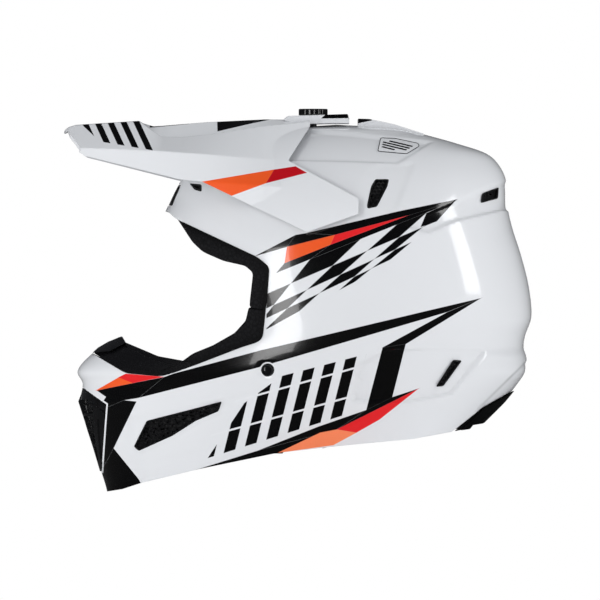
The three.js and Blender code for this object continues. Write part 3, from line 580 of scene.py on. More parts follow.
# ---------- materials ----------
class Surface:
    """A node material under construction. Shapes in it are measured in millimetres in the worn attitude."""

    def __init__(self, name):
        self.material = bpy.data.materials.new(name)
        self.material.use_nodes = True
        self.tree = self.material.node_tree
        self.shader = self.tree.nodes["Principled BSDF"]
        self.object = self.node("ShaderNodeTexCoord").outputs["Object"]
        mapping = self.node("ShaderNodeMapping")
        self.link(self.object, mapping.inputs["Vector"])
        mapping.inputs["Scale"].default_value = (1000, 1000, 1000)
        mapping.inputs["Rotation"].default_value = (0, -STAND_SLOPE, 0)
        shift = Vector((SHIFT[0] * 1000, 0, SHIFT[1] * 1000))
        mapping.inputs["Location"].default_value = -(Matrix.Rotation(-STAND_SLOPE, 3, "Y") @ shift)
        self.worn = mapping.outputs["Vector"]

    def node(self, kind, **settings):
        made = self.tree.nodes.new(kind)
        for key, value in settings.items():
            setattr(made, key, value)
        return made

    def link(self, output, target):
        self.tree.links.new(output, target)

    def feed(self, target, value):
        if hasattr(value, "is_linked"):
            self.link(value, target)
        else:
            target.default_value = value

    def math(self, operation, *values, clamp=False):
        made = self.node("ShaderNodeMath", operation=operation, use_clamp=clamp)
        for target, value in zip(made.inputs, values):
            self.feed(target, value)
        return made.outputs[0]

    def plane(self, a, b, c):
        """a * x + b * z + c, in the side view."""
        dot = self.node("ShaderNodeVectorMath", operation="DOT_PRODUCT")
        self.link(self.worn, dot.inputs[0])
        dot.inputs[1].default_value = (a, 0, b)
        return self.math("ADD", dot.outputs["Value"], c)

    def edge(self, start, end):
        """Distance to the left of the line from start to end, in the side view."""
        (ax, az), (bx, bz) = start, end
        length = math.hypot(bx - ax, bz - az)
        nx, nz = -(bz - az) / length, (bx - ax) / length
        return self.plane(nx, nz, -(nx * ax + nz * az))

    def polygon(self, outline, softness=0.25):
        """1 inside an outline of the side view, 0 outside."""
        best = None
        for part in convex_parts(outline):
            inner = None
            for i, start in enumerate(part):
                distance = self.edge(start, part[(i + 1) % len(part)])
                inner = distance if inner is None else self.math("MINIMUM", inner, distance)
            best = inner if best is None else self.math("MAXIMUM", best, inner)
        return self.math("MULTIPLY_ADD", best, 1 / softness, 0.5, clamp=True)

    def mix(self, factor, first, second):
        made = self.node("ShaderNodeMix", data_type="RGBA")
        self.feed(made.inputs[0], factor)
        for target, value in ((made.inputs[6], first), (made.inputs[7], second)):
            self.feed(target, value if hasattr(value, "is_linked") else (*value, 1))
        return made.outputs[2]

    def noise(self, scale, detail=2.0, roughness=0.5, vector=None):
        made = self.node("ShaderNodeTexNoise")
        self.link(vector or self.object, made.inputs["Vector"])
        made.inputs["Scale"].default_value = scale
        made.inputs["Detail"].default_value = detail
        made.inputs["Roughness"].default_value = roughness
        return made.outputs["Fac"]

    def ramp(self, value, low, high):
        made = self.node("ShaderNodeMapRange")
        self.feed(made.inputs["Value"], value)
        made.inputs["To Min"].default_value = low
        made.inputs["To Max"].default_value = high
        return made.outputs["Result"]

    def bump(self, height, strength, distance, normal=None):
        made = self.node("ShaderNodeBump")
        made.inputs["Strength"].default_value = strength
        made.inputs["Distance"].default_value = distance
        self.feed(made.inputs["Height"], height)
        if normal is not None:
            self.link(normal, made.inputs["Normal"])
        return made.outputs["Normal"]

    def rounded_edges(self, radius):
        made = self.node("ShaderNodeBevel", samples=4)
        made.inputs["Radius"].default_value = radius
        return made.outputs["Normal"]

    def set(self, **values):
        """Feeds the shader's inputs, named with underscores for spaces."""
        for key, value in values.items():
            target = self.shader.inputs[key.replace("_", " ")]
            if isinstance(value, tuple) and len(value) == 3:
                value = (*value, 1)
            self.feed(target, value)
        return self.material


def convex_parts(outline):
    """An outline as convex pieces that turn anticlockwise and overlap a little."""
    flat = [Vector((x, z, 0)) for x, z in outline]
    parts = [list(t) for t in tessellate_polygon([flat])]
    turn = lambda a, b, c: (b.x - a.x) * (c.y - a.y) - (b.y - a.y) * (c.x - a.x)
    parts = [p if turn(*(flat[i] for i in p)) > 0 else p[::-1] for p in parts]
    merged = True
    while merged:
        merged = False
        for first in parts:
            for second in parts:
                if first is second:
                    continue
                union = merge_if_convex(first, second, flat, turn)
                if union:
                    parts.remove(first)
                    parts.remove(second)
                    parts.append(union)
                    merged = True
                    break
            if merged:
                break
    return [inset([(flat[i].x, flat[i].y) for i in p], -0.04) for p in parts]


def merge_if_convex(first, second, flat, turn):
    """Two pieces that share an edge as one, or None where that isn't convex."""
    for i, a in enumerate(first):
        b = first[(i + 1) % len(first)]
        for j, c in enumerate(second):
            if c == b and second[(j + 1) % len(second)] == a:
                union = first[i + 1:] + first[:i + 1]
                rest = second[j + 1:] + second[:j + 1]
                union = union + rest[1:-1]
                count = len(union)
                corners = [[flat[union[(k + m) % count]] for m in range(3)] for k in range(count)]
                return union if all(turn(*corner) > -1e-6 for corner in corners) else None
    return None


WHITE = (0.78, 0.79, 0.81)
BLACK = (0.0015, 0.0015, 0.0017)
ORANGE = (0.87, 0.105, 0.02)
RED = (0.78, 0.018, 0.022)
DEEP_RED = (0.5, 0.006, 0.012)
PALE_ORANGE = (0.95, 0.25, 0.11)

BAND_UPPER = [
    (-69.7, 27.3), (-36.4, 44.6), (-28.1, 46), (48.1, 64), (95.2, 73.7), (93.1, 72), (54.3, 60.2),
    (-4.6, 44.6), (-43.4, 34.9),
]
BAND_UNDER = [
    (-52, 13.8), (-45.4, 21.7), (-8, 36.7), (54.3, 60.2), (93.1, 72), (-24.7, 24.8),
]
STRIPE = [
    (-199, -82.1), (-169, -75.9), (-143.4, -70.9), (-136, -68.2), (-65.2, -49.2), (65.6, -18.1),
    (114.3, -6.7), (87, -17.8), (65.6, -24.2), (-66.9, -63), (-164.4, -88), (-176.5, -90), (-190.3, -88),
]
BRANCH = [(34.2, -46.7), (52.9, -44), (114.3, -6.7), (86.5, -18.2)]
BAR = [(34.2, -46.7), (52.9, -44), (42.1, -87.1), (21, -97.5)]
WEDGE = [
    (42.1, -87.1), (63.6, -80), (-3, -113.4), (-51, -132.6), (-116.4, -146.2), (-67, -130.7), (-18.6, -111.3),
    (21, -97.5),
]
CHIN_BLACK = [
    (-190.3, -86), (-176.5, -90), (-166.2, -91), (-185.2, -129.4), (-164.6, -154.6), (-161.7, -160),
    (-186.5, -170), (-204, -164), (-200, -100),
]
CHEQUER_AREA = [(-57, 11.8), (93.1, 72), (77.9, 55.7), (30.6, 16.4), (-29.8, -15.2), (-60, -32), (-60, 8)]
CHEQUER_LINES = [
    ((-6.6, 19.6), (77.9, 55.7)), ((-27.2, 0), (62.7, 41.1)), ((-16.9, -2.6), (41.9, 25.2)),
    ((-24.7, 24.8), (-57.4, -16.4)), ((15.5, 40.4), (-27.2, 0)), ((46, 53.3), (-16.9, -2.6)),
    ((70.3, 62.9), (24.5, 22.4)), ((95.2, 73.7), (45.3, 33.5)),
]


def chequers(surface):
    """A flag of skewed cells: the colour changes at every line that is crossed."""
    product = None
    for start, end in CHEQUER_LINES:
        side = surface.math("MULTIPLY", surface.edge(start, end), 4.0)
        side = surface.math("MAXIMUM", surface.math("MINIMUM", side, 1.0), -1.0)
        product = side if product is None else surface.math("MULTIPLY", product, side)
    odd = surface.math("MULTIPLY_ADD", product, 0.5, 0.5, clamp=True)
    return surface.math("MULTIPLY", odd, surface.polygon(CHEQUER_AREA))


def slanted_bars(surface, start, lean, pitch, duty, outline):
    """Parallel bars across an outline: start is a point on a bar's edge, lean its direction."""
    across = surface.edge(start, (start[0] + lean[0], start[1] + lean[1]))
    turns = surface.math("FRACT", surface.math("MULTIPLY", across, 1 / pitch))
    bar = surface.math("MULTIPLY_ADD", surface.math("SUBTRACT", duty, turns), pitch * 3, 0.5, clamp=True)
    return surface.math("MULTIPLY", bar, surface.polygon(outline))


def paint(surface, base, layers):
    """Colours laid over each other in order. A layer is an outline, or a function that makes a mask."""
    colour = base
    for shape, layer in layers:
        mask = shape() if callable(shape) else surface.polygon(shape)
        colour = surface.mix(mask, colour, layer)
    return colour


def off_white(surface):
    """White with a faint, slow change of tone."""
    return surface.mix(surface.ramp(surface.noise(9, 3), 0, 1), WHITE, tuple(c * 0.965 for c in WHITE))


def gloss(surface, colour, peel=0.05, coat=0.45):
    """A clear-coated moulding: faint orange peel, fine dust in the roughness."""
    dust = surface.noise(420, 4, 0.6)
    rough = surface.ramp(dust, 0.1, 0.2)
    normal = surface.bump(surface.noise(190, 2), peel, 0.0004, surface.rounded_edges(0.0007))
    return surface.set(Base_Color=colour, Roughness=rough, Coat_Weight=coat, Coat_Roughness=0.03,
                       Specular_IOR_Level=coat * 0.75, Normal=normal)


SIDE_BARS_AREA = [(-108, -137), (-20, -109), (8, -100), (21, -52), (-48, -70), (-78, -92)]
SIDE_GAPS_AREA = [(-122, -140), (-20, -112), (8, -100), (21, -50), (-72, -72)]


def shell_paint():
    """The shell's graphics: a flag under a pointed band, a long stripe with a branch, and a field of bars."""
    s = Surface("shell_paint")
    layers = [
        (lambda: chequers(s), BLACK),
        ([(69.8, 62.3), (93.4, 72.7), (78.3, 55.7), (65.1, 51)], BLACK),
        (BAND_UPPER, BLACK),
        (BAND_UNDER, BLACK),
        ([(-43.4, 34.9), (-4.6, 44.6), (-8, 36.7), (-45.4, 21.7)], ORANGE),
        ([(-4.6, 44.6), (54.3, 60.2), (-8, 36.7)], RED),
        (STRIPE, BLACK),
        (BRANCH, BLACK),
        (BAR, BLACK),
        (WEDGE, BLACK),
        (CHIN_BLACK, BLACK),
        ([(-214, -76.4), (-189.7, -92.8), (-191.2, -110.9), (-194.2, -150), (-197, -150), (-214, -95)],
         WHITE),
        (circle(ANCHOR, 6.5, 14), WHITE),
        ([(13, 143), (25, 142), (26, 138.8), (13, 136)], BLACK),
        ([(63.6, -80), (-3, -113.4), (12.9, -116), (31.6, -105.4)], RED),
        ([(-3, -113.4), (12.9, -116), (-5.8, -126.2), (-51, -132.6), (-16.4, -116)], PALE_ORANGE),
        ([(-200, -82.3), (-180.7, -71.3), (-169, -75.9)], ORANGE),
        ([(-181, -71.3), (-174.8, -68.3), (-143.4, -70.7), (-169.2, -75.9)], RED),
        (lambda: slanted_bars(s, (-120, -140), (7.5, 30), 15.5, 0.55, SIDE_BARS_AREA), BLACK),
        (lambda: slanted_bars(s, (-120, -101), (1, 0.28), 21.5, 0.07, SIDE_GAPS_AREA), WHITE),
    ]
    return gloss(s, paint(s, off_white(s), layers))


def visor_paint():
    """The visor's graphics: a pointed flash on each side, patches on the spine and bars at the front."""
    s = Surface("visor_paint")
    layers = [
        ([(-112.4, 88), (-53.8, 97.9), (-60.4, 86.7), (-88.4, 76.5)], ORANGE),
        ([(-53.8, 97.9), (-36.4, 100.5), (-27.1, 95.2), (-60.4, 86.7)], DEEP_RED),
        ([(-100.9, 145), (-54.7, 145), (-54.7, 140), (-72.3, 136.2), (-100.2, 129.6)], BLACK),
        ([(-155.8, 140), (-123.6, 140), (-123.6, 135.9), (-155.8, 132.8)], BLACK),
        ([(-15.5, 140.3), (-8, 147), (10, 147), (10, 140.6)], BLACK),
        (lambda: slanted_bars(s, (-216, 113), (-10, 21), 9.6, 0.5,
                              [(-214, 138), (-163, 142), (-152, 113.5), (-196, 121)]), BLACK),
    ]
    return gloss(s, paint(s, off_white(s), layers), coat=0.2)


def plastic(name, colour, rough, grain=0.25, scale=900, shine=0.4):
    """Moulded plastic with a fine grain."""
    s = Surface(name)
    texture = s.noise(scale, 3, 0.6)
    shade = s.mix(s.ramp(s.noise(40, 3), 0, 1), colour, tuple(c * 0.7 for c in colour))
    roughness = s.ramp(texture, rough - 0.07, rough + 0.07)
    return s.set(Base_Color=shade, Roughness=roughness, Specular_IOR_Level=shine,
                 Normal=s.bump(texture, grain, 0.0003, s.rounded_edges(0.0005)))


def fabric(name, colour, pitch=2.6, raised=0.5):
    """Spacer knit: small round pores in a fine yarn, with a soft sheen. The pores are painted near black, as
    painted shade in the holes.
    """
    s = Surface(name)
    pores = s.node("ShaderNodeTexVoronoi", feature="F1")
    s.link(s.object, pores.inputs["Vector"])
    pores.inputs["Scale"].default_value = 1000 / pitch
    pores.inputs["Randomness"].default_value = 0.15
    hole = s.math("SUBTRACT", 1.0, s.math("MULTIPLY", pores.outputs["Distance"], 1.9, clamp=True), clamp=True)
    yarn = s.noise(2600, 3, 0.7)
    height = s.math("ADD", s.math("MULTIPLY", hole, -1.0), s.math("MULTIPLY", yarn, 0.35))
    thread = s.mix(yarn, tuple(c * 0.6 for c in colour), tuple(c * 2.2 for c in colour))
    # painted shade: the pores are darkened to near black where the holes sink in
    shade = s.mix(s.math("MULTIPLY", hole, 0.85), thread, (0.001, 0.001, 0.001))
    return s.set(Base_Color=shade, Roughness=s.ramp(yarn, 0.75, 0.95), Sheen_Weight=0.03, Sheen_Roughness=0.4,
                 Specular_IOR_Level=0.1,
                 Normal=s.bump(height, raised, 0.0009))


def foam(name, colour, bead=3.2):
    """Moulded bead foam: round beads pressed flat against the mould, darker along their edges as painted
    shade in the grooves between them.
    """
    s = Surface(name)
    beads = s.node("ShaderNodeTexVoronoi", feature="DISTANCE_TO_EDGE")
    s.link(s.object, beads.inputs["Vector"])
    beads.inputs["Scale"].default_value = 1000 / bead
    edge = s.math("MULTIPLY", beads.outputs["Distance"], 5.0, clamp=True)
    # painted shade: darker towards the bead edges, where the grooves sink in
    shade = s.mix(edge, tuple(c * 0.35 for c in colour), colour)
    return s.set(Base_Color=s.mix(s.noise(60, 3), shade, tuple(c * 0.6 for c in colour)),
                 Roughness=s.ramp(s.noise(900, 2), 0.8, 0.95), Specular_IOR_Level=0.15,
                 Normal=s.bump(edge, 0.5, 0.0005))


def webbing(name, colour, rib=1.6):
    """Flat woven webbing: ribs along the strap, crossed by the weft. The weave's raised parts are painted
    lighter and its hollows darker, as painted light and shade.
    """
    s = Surface(name)
    def wave(direction, pitch):
        made = s.node("ShaderNodeTexWave", bands_direction=direction)
        s.link(s.worn, made.inputs["Vector"])
        made.inputs["Scale"].default_value = 0.314 / pitch * 10
        made.inputs["Distortion"].default_value = 0.4
        return made.outputs["Fac"]
    warp, weft = wave("X", rib), wave("Z", rib * 0.8)
    height = s.math("MULTIPLY", warp, s.math("MULTIPLY_ADD", weft, 0.6, 0.4))
    # painted light and shade: lighter on the weave's raised parts, darker in its hollows
    shade = s.mix(height, tuple(c * 0.4 for c in colour), tuple(c * 1.6 for c in colour))
    return s.set(Base_Color=shade, Roughness=s.ramp(s.noise(1500, 2), 0.7, 0.9), Sheen_Weight=0.1,
                 Normal=s.bump(height, 0.5, 0.0006))


def brushed_steel(name, colour=(0.55, 0.56, 0.58)):
    """Zinc-plated steel with fine drawing marks and worn highlights."""
    s = Surface(name)
    stretch = s.node("ShaderNodeMapping")
    s.link(s.object, stretch.inputs["Vector"])
    stretch.inputs["Scale"].default_value = (1, 12, 1)
    marks = s.noise(700, 4, 0.7, stretch.outputs["Vector"])
    shade = s.mix(s.noise(120, 3), colour, tuple(c * 0.75 for c in colour))
    return s.set(Base_Color=shade, Metallic=1.0, Roughness=s.ramp(marks, 0.22, 0.42),
                 Normal=s.bump(marks, 0.12, 0.0002, s.rounded_edges(0.0004)))


def gloss_black(name):
    """The same gloss moulding in black."""
    s = Surface(name)
    shade = s.mix(s.noise(30, 3), BLACK, (0.007, 0.007, 0.008))
    return gloss(s, shade, 0.08)


# ---------- pieces on the shell ----------
def on_side(points, side, depth):
    """Side-view points (x, z), laid on the form at a depth."""
    x, z = points[:, 0], points[:, 1]
    return np.stack([x, side * half_width(x, z, depth), z], axis=1)


def on_front(depth):
    """A function that lays front-view points (y, z) on the form at a depth."""
    return lambda p: np.stack([front_x(p[:, 0], p[:, 1], depth), p[:, 0], p[:, 1]], axis=1)


def front_x(y, z, depth):
    """Foremost x of the shell's form, moved in by `depth`, at points of the front view."""
    z = np.where(z > 0, z / (1 - depth / SHELL_HEIGHT), z)
    front, half, widest = (np.interp(z, TABLE[:, 0], TABLE[:, k]) for k in (1, 3, 4))
    reach = widest - front
    power = roundness(z, np.full(np.shape(z), True))
    share = np.clip(np.abs(y) / (half * (1 - depth / SHELL_HALF_WIDTH)), 0, 1)
    return widest - reach * (1 - share ** power) ** (1 / power) * (1 - depth / np.maximum(reach, FLAT_REACH))


def hexagons(low, high, pitch, bar):
    """A flat honeycomb of bars over a rectangle, as 2-D points and faces."""
    work = bmesh.new()
    radius = pitch / math.sqrt(3)
    known = {}
    rows = int((high[1] - low[1]) / (1.5 * radius)) + 2
    columns = int((high[0] - low[0]) / pitch) + 2
    cells = []
    for row in range(rows):
        for column in range(columns):
            centre = (low[0] + (column + 0.5 * (row % 2)) * pitch, low[1] + row * 1.5 * radius)
            corners = []
            for k in range(6):
                turn = math.radians(60 * k + 30)
                key = (round(centre[0] + radius * math.cos(turn), 3),
                       round(centre[1] + radius * math.sin(turn), 3))
                if key not in known:
                    known[key] = work.verts.new((*key, 0))
                corners.append(known[key])
            cells.append(work.faces.new(corners))
    bmesh.ops.inset_individual(work, faces=cells, thickness=bar / 2, use_even_offset=True)
    bmesh.ops.delete(work, geom=cells, context="FACES_ONLY")
    work.verts.ensure_lookup_table()
    points = np.array([v.co[:2] for v in work.verts])
    faces = [[v.index for v in f.verts] for f in work.faces]
    work.free()
    return points, faces


def mesh_panel(name, outline, solid_at, cutter, pitch, bar, wall):
    """A honeycomb that lies on a surface and fills an outline: solid_at maps 2-D points to the surface."""
    box = np.array(outline)
    points, faces = hexagons(box.min(0) - pitch, box.max(0) + pitch, pitch, bar)
    panel = make_object(name, solid_at(points), faces)
    thick = panel.modifiers.new("thick", "SOLIDIFY")
    thick.thickness = wall / 1000
    thick.offset = 0
    apply_modifiers(panel)
    recalculate(panel)
    return boolean(panel, cutter, "INTERSECT", "EXACT")


def border(name, outline, surface_at, width, radius=1.5, steps=4):
    """A frame of rounded section round an outline: surface_at(points, depth) gives its 3-D points."""
    dense = []
    shape = rounded(outline, radius)
    for i, start in enumerate(shape):
        end = shape[(i + 1) % len(shape)]
        pieces = max(1, int(math.dist(start, end) / steps))
        dense += [tuple(np.array(start) + (np.array(end) - start) * k / pieces) for k in range(pieces)]
    dense = [p for p, q in zip(dense, dense[1:] + dense[:1]) if math.dist(p, q) > 0.05]
    section = [(0.0, 0.3), (0.25, 0.0), (width - 0.25, 0.0), (width, 0.3), (width, 1.8), (0.0, 1.8)]
    rings = [surface_at(np.array(inset(dense, across)), deep) for across, deep in section]
    grid = np.stack(rings, axis=1).reshape(-1, 3)
    count, size = len(dense), len(section)
    faces = []
    for i in range(count):
        j = (i + 1) % count
        for k in range(size):
            m = (k + 1) % size
            faces.append((i * size + k, j * size + k, j * size + m, i * size + m))
    return recalculate(make_object(name, grid, faces))


RIM_DEPTH, MESH_DEPTH, BACKING_DEPTH = 0.9, 2.4, 3.2  # of a vent's parts under the shell's surface


def vent_panel(name, outline, side, pitch=3.2, bar=1.0):
    """A honeycomb in one of the side vents, with a rim round it and a thin plate behind it."""
    shape = inset(outline, 0.35)
    low, high = span(side, 1, FAR)
    cutter = prism("cut", shape, "y", low, high, 1.3)
    panel = mesh_panel(name, shape, lambda p: on_side(p, side, MESH_DEPTH), cutter, pitch, bar, 1.2)
    rim = border(name + "_rim", shape, lambda p, deep: on_side(p, side, RIM_DEPTH + deep), 1.1)
    backing = layer_piece("backing", prism("backing", shape, "y", low, high, 1.3), BACKING_DEPTH, SHELL_WALL)
    return smooth(join(name, [panel, rim, backing]), 40)


def louvre(side):
    """White cover with narrow slots between slats."""
    shape = inset(CROWN_LOUVRE, 0.5)
    low, high = span(side, 1, FAR)
    plate = prism("crown_louvre", shape, "y", low, high, 1.2)
    boolean(plate, form_object("outer", fine_rows(3, 8), 120, depth=0.7), "INTERSECT")
    boolean(plate, form_object("inner", fine_rows(3, 8), 120, depth=2.8))
    slope, pitch, height, margin = math.tan(math.radians(-13)), 2.05, 0.95, 1.7
    cutters = []
    for k in range(7):
        xs = np.linspace(20, 75, 300)
        zs = 122.6 - k * pitch + slope * (xs - 46)
        room = signed_distance(xs, zs, shape) > margin
        room &= signed_distance(xs, zs - height, shape) > margin
        if room.sum() > 20:
            a, b = xs[room].min(), xs[room].max()
            high_a, high_b = (122.6 - k * pitch + slope * (x - 46) for x in (a, b))
            slot = [(a + 0.8, high_a), (b, high_b), (b - 0.8, high_b - height), (a, high_a - height)]
            cutters.append(prism("slot", slot, "y", low, high))
    boolean(plate, join("slots", cutters))
    return smooth(bevel(plate, 0.25, 2))


def layer_piece(name, solid, outer, inner, turns=200):
    """What a solid holds between two depths of the shell's form."""
    boolean(solid, form_object("outer", fine_rows(6, 6), turns, depth=outer), "INTERSECT")
    boolean(solid, form_object("inner", fine_rows(6, 6), turns, depth=inner))
    solid.name = name
    return solid


NOSE_GUARD = [
    (-206, -51), (-181, -38), (-177.5, -42.5), (-150, -54.5), (-128, -58.6), (-121.5, -58.8), (-121.5, -62),
    (-133.5, -66.6), (-146, -70.1), (-175, -67.6), (-202.5, -51.2),
]
NOSE_RIB = [
    (-199, -49), (-181.5, -42.5), (-176, -46.5), (-148, -58.5), (-136, -61.5), (-147, -66.5), (-172, -63),
]
NOSE_CREST = [(-203, -51.5), (-195.5, -44.5), (-179, -37.9), (-176, -43.5), (-188, -50)]
REAR_TRIM = [
    (92.8, table_at(92.8)), (104, table_at(104)), (107, -110.5), (117.5, -109), (132, -95), (144.5, -83),
    (142, -82.8), (116.4, -96.8),
]
REAR_TRIM_RIB = [
    (98, -114.5), (106, -113.5), (109, -109.5), (116, -107.5), (130, -94.5), (140, -85), (117, -97),
]
GASKET_END = [(-FAR, 90), (-129, 90), (-129, -40), (-122, -40), (-122, -90), (-FAR, -90)]
MOUTH_HOLE = [(-29, -90), (29, -90), (7.5, -141), (-7.5, -141)]
MOUTH_RECESSES = [  # on the left; the right ones mirror them
    [(-33, -84), (-60, -84), (-60, -120), (-31, -96)],
    [(-28, -104), (-52, -128), (-40, -146), (-12, -140)],
]
KEEL_HALF_WIDTH = 3.4
KEEL_NOSE = [(-205, -79.6), (-210, -79.6), (-214.6, -91.3), (-196.2, -148.4), (-192, -148.4), (-200, -92)]


def nose_guard():
    """A soft moulding on the chin bar's upper edge, with a raised rib and a crest in front of the nose."""
    body = layer_piece("guard", prism("guard", NOSE_GUARD, "y", -FAR, FAR, 2), 1.2, 11)
    rib = layer_piece("rib", prism("rib", NOSE_RIB, "y", -FAR, FAR, 1.5), 0.2, 8)
    crest = layer_piece("crest", prism("crest", NOSE_CREST, "y", -48, 48, 1), -3.0, 8)
    boolean(bevel(body, 1.0, 2, 40), bevel(rib, 0.7, 2, 40), "UNION")
    boolean(body, bevel(crest, 0.7, 2, 40), "UNION")
    body.name = "nose_guard_moulding"
    return smooth(body, 30)


def rear_trim():
    """A ribbed rubber strip on the shell's rear lower edge."""
    body = layer_piece("trim", prism("trim", REAR_TRIM, "y", -FAR, FAR, 1.5), -0.4, SHELL_WALL + 0.5)
    rib = layer_piece("rib", prism("rib", REAR_TRIM_RIB, "y", -FAR, FAR, 1.2), -1.2, 2)
    boolean(body, rib, "UNION")
    body.name = "rear_trim_rubber"
    return smooth(bevel(body, 0.5, 2, 40), 30)


def gasket():
    """A rubber bead round the sides of the eye port."""
    edge = prism("edge", inset(EYE_PORT, 0.3), "y", -FAR, FAR, 4, 8)
    boolean(edge, prism("hole", inset(EYE_PORT, 2.6), "y", -FAR - 1, FAR + 1, 3, 8))
    boolean(edge, prism("end", GASKET_END, "y", -FAR - 2, FAR + 2))
    piece = layer_piece("eyeport_rubber", edge, -0.7, SHELL_WALL + 0.1, 260)
    return smooth(bevel(piece, 0.5, 3, 40), 40)


def mouth_frame():
    """The mouth vent's frame, with a keel down its middle, recesses beside it and a plate behind the mesh."""
    solid = prism("mouth", inset(MOUTH_CUT, 0.5), "y", -FAR, FAR)
    boolean(solid, prism("hole", MOUTH_HOLE, "x", -FAR, 0, 4))
    frame_piece = layer_piece("mouth_frame_moulding", solid, 0.2, SHELL_WALL, 260)
    keel = prism("keel", inset(MOUTH_CUT, 0.5), "y", -KEEL_HALF_WIDTH, KEEL_HALF_WIDTH)
    boolean(frame_piece, layer_piece("keel", keel, 0.0, 6.4), "UNION")
    boolean(frame_piece, prism("keel_nose", KEEL_NOSE, "y", -KEEL_HALF_WIDTH, KEEL_HALF_WIDTH), "UNION")
    backing = prism("backing", inset(MOUTH_HOLE, -1), "x", -FAR, -100)
    boolean(frame_piece, layer_piece("backing", backing, 3.9, 4.9), "UNION")
    for outline in MOUTH_RECESSES:
        for side in SIDES.values():
            recess = prism("recess", [(side * -y, z) for y, z in outline], "x", -FAR, -120, 2)
            boolean(recess, form_object("floor", fine_rows(6, 6), 200, depth=1.4))
            boolean(frame_piece, recess)
    return smooth(bevel(frame_piece, 0.5, 2, 35), 30)


def mouth_grille():
    """A coarse honeycomb behind three bars."""
    shape = inset(MOUTH_HOLE, 0.4)
    cutter = prism("cut", shape, "x", -FAR, -100, 3.5)
    panel = mesh_panel("mouth_grille_mesh", shape, on_front(2.6), cutter, 5.2, 1.5, 1.4)
    bars = []
    for k in range(3):
        z = -101 - k * 12.5
        bar = prism("bar", [(-40, z), (40, z), (40, z - 2.4), (-40, z - 2.4)], "x", -FAR, -100)
        boolean(bar, prism("cut", shape, "x", -FAR, -100, 3.5), "INTERSECT")
        bars.append(bevel(layer_piece("bar", bar, 0.6, 3.6), 0.4, 2, 40))
    return smooth(join("mouth_grille_mesh", [panel] + bars), 35)


def forehead_mesh():
    """A black surround with two honeycomb windows."""
    surround = layer_piece("surround", prism("solid", inset(FOREHEAD_VENT, 0.5), "y", -120, 120), 0.3, 3)
    panels = []
    for side in SIDES.values():
        window = [(side * 4, 71.5), (side * 30, 71.5), (side * 24, 84.5), (side * 4, 84.5)]
        boolean(surround, prism("window", window, "x", -FAR, 0, 1.5))
        cutter = prism("cut", window, "x", -FAR, 0, 1.5)
        panels.append(mesh_panel("mesh", window, on_front(1.9), cutter, 3.6, 1.1, 1.2))
    return smooth(join("forehead_mesh", [bevel(surround, 0.3, 2, 40)] + panels), 35)


def lathe(name, profile, centre, axis, steps=40):
    """A solid of revolution from (radius, height) points. Its first and last points lie on the axis."""
    axis = Vector(axis).normalized()
    u = axis.orthogonal().normalized()
    v = axis.cross(u)
    rings = []
    for radius, height in profile:
        for k in range(steps):
            turn = math.tau * k / steps
            rings.append(Vector(centre) + axis * height + (u * math.cos(turn) + v * math.sin(turn)) * radius)
    faces = grid_faces(len(profile), steps, wrap=True)
    return recalculate(make_object(name, [tuple(r) for r in rings], faces))


def anchor_bolt(side):
    """Domed black rivet outside, collar inside."""
    face = float(half_width(*map(np.array, ANCHOR), 1.9))
    head = [(0, face), (2.5, face - 0.1), (3.9, face - 0.55), (4.7, face - 1.3), (4.9, face - 2.4)]
    collar = [(4.9, 96.1), (8, 96.1), (8, 94.1), (7.4, 93.7), (0, 93.7)]
    return smooth(lathe("strap_rivet", head + collar, (ANCHOR[0], 0, ANCHOR[1]), (0, side, 0)))


def headings(path, closed):
    """The unit direction of travel at each point of a path."""
    ahead = np.roll(path, -1, axis=0) - np.roll(path, 1, axis=0)
    if not closed:
        ahead[0], ahead[-1] = path[1] - path[0], path[-1] - path[-2]
    return ahead / np.linalg.norm(ahead, axis=1)[:, None]


def tube(name, path, radius, closed=False, sides=10):
    """A round tube along points."""
    path = np.array(path, float)
    ahead = headings(path, closed)
    points, normal = [], Vector(ahead[0]).orthogonal()
    for centre, direction in zip(path, ahead):
        d = Vector(direction)
        normal = (normal - d * normal.dot(d)).normalized()
        other = d.cross(normal)
        for k in range(sides):
            turn = math.tau * k / sides
            out = normal * math.cos(turn) + other * math.sin(turn)
            points.append(tuple(Vector(centre) + out * radius))
    faces = grid_faces(len(path), sides, wrap=True)
    if closed:
        last = (len(path) - 1) * sides
        turn_by = best_turn(points[last:], points[:sides], sides)
        for i in range(sides):
            j = (i + 1) % sides
            faces.append((last + i, last + j, (j + turn_by) % sides, (i + turn_by) % sides))
    else:
        faces += [tuple(range(sides))[::-1], tuple(len(points) - sides + i for i in range(sides))]
    return recalculate(make_object(name, points, faces))


def best_turn(last, first, sides):
    """How far the first ring is turned against the last one, so that a closed tube doesn't twist."""
    gaps = [sum(math.dist(last[i], first[(i + k) % sides]) for i in range(sides)) for k in range(sides)]
    return int(np.argmin(gaps))


RING = [(-16.6, -2), (16.6, -2), (16.6, 8), (10, 22), (-10, 22), (-16.6, 8)]
WIRE = 1.5  # radius
LOOP = {"middle": -32.0, "z": -126.5}  # the strap's loop round both rings


def d_ring(name, lift):
    """Bent round wire with a butt joint in the straight bar."""
    outline = rounded(inset(RING, 1.4), 7, 6)
    path = [(ANCHOR[0] + a, LOOP["middle"] + b, LOOP["z"] + lift) for a, b in outline]
    return smooth(tube(name, path, WIRE, closed=True, sides=14), 60)


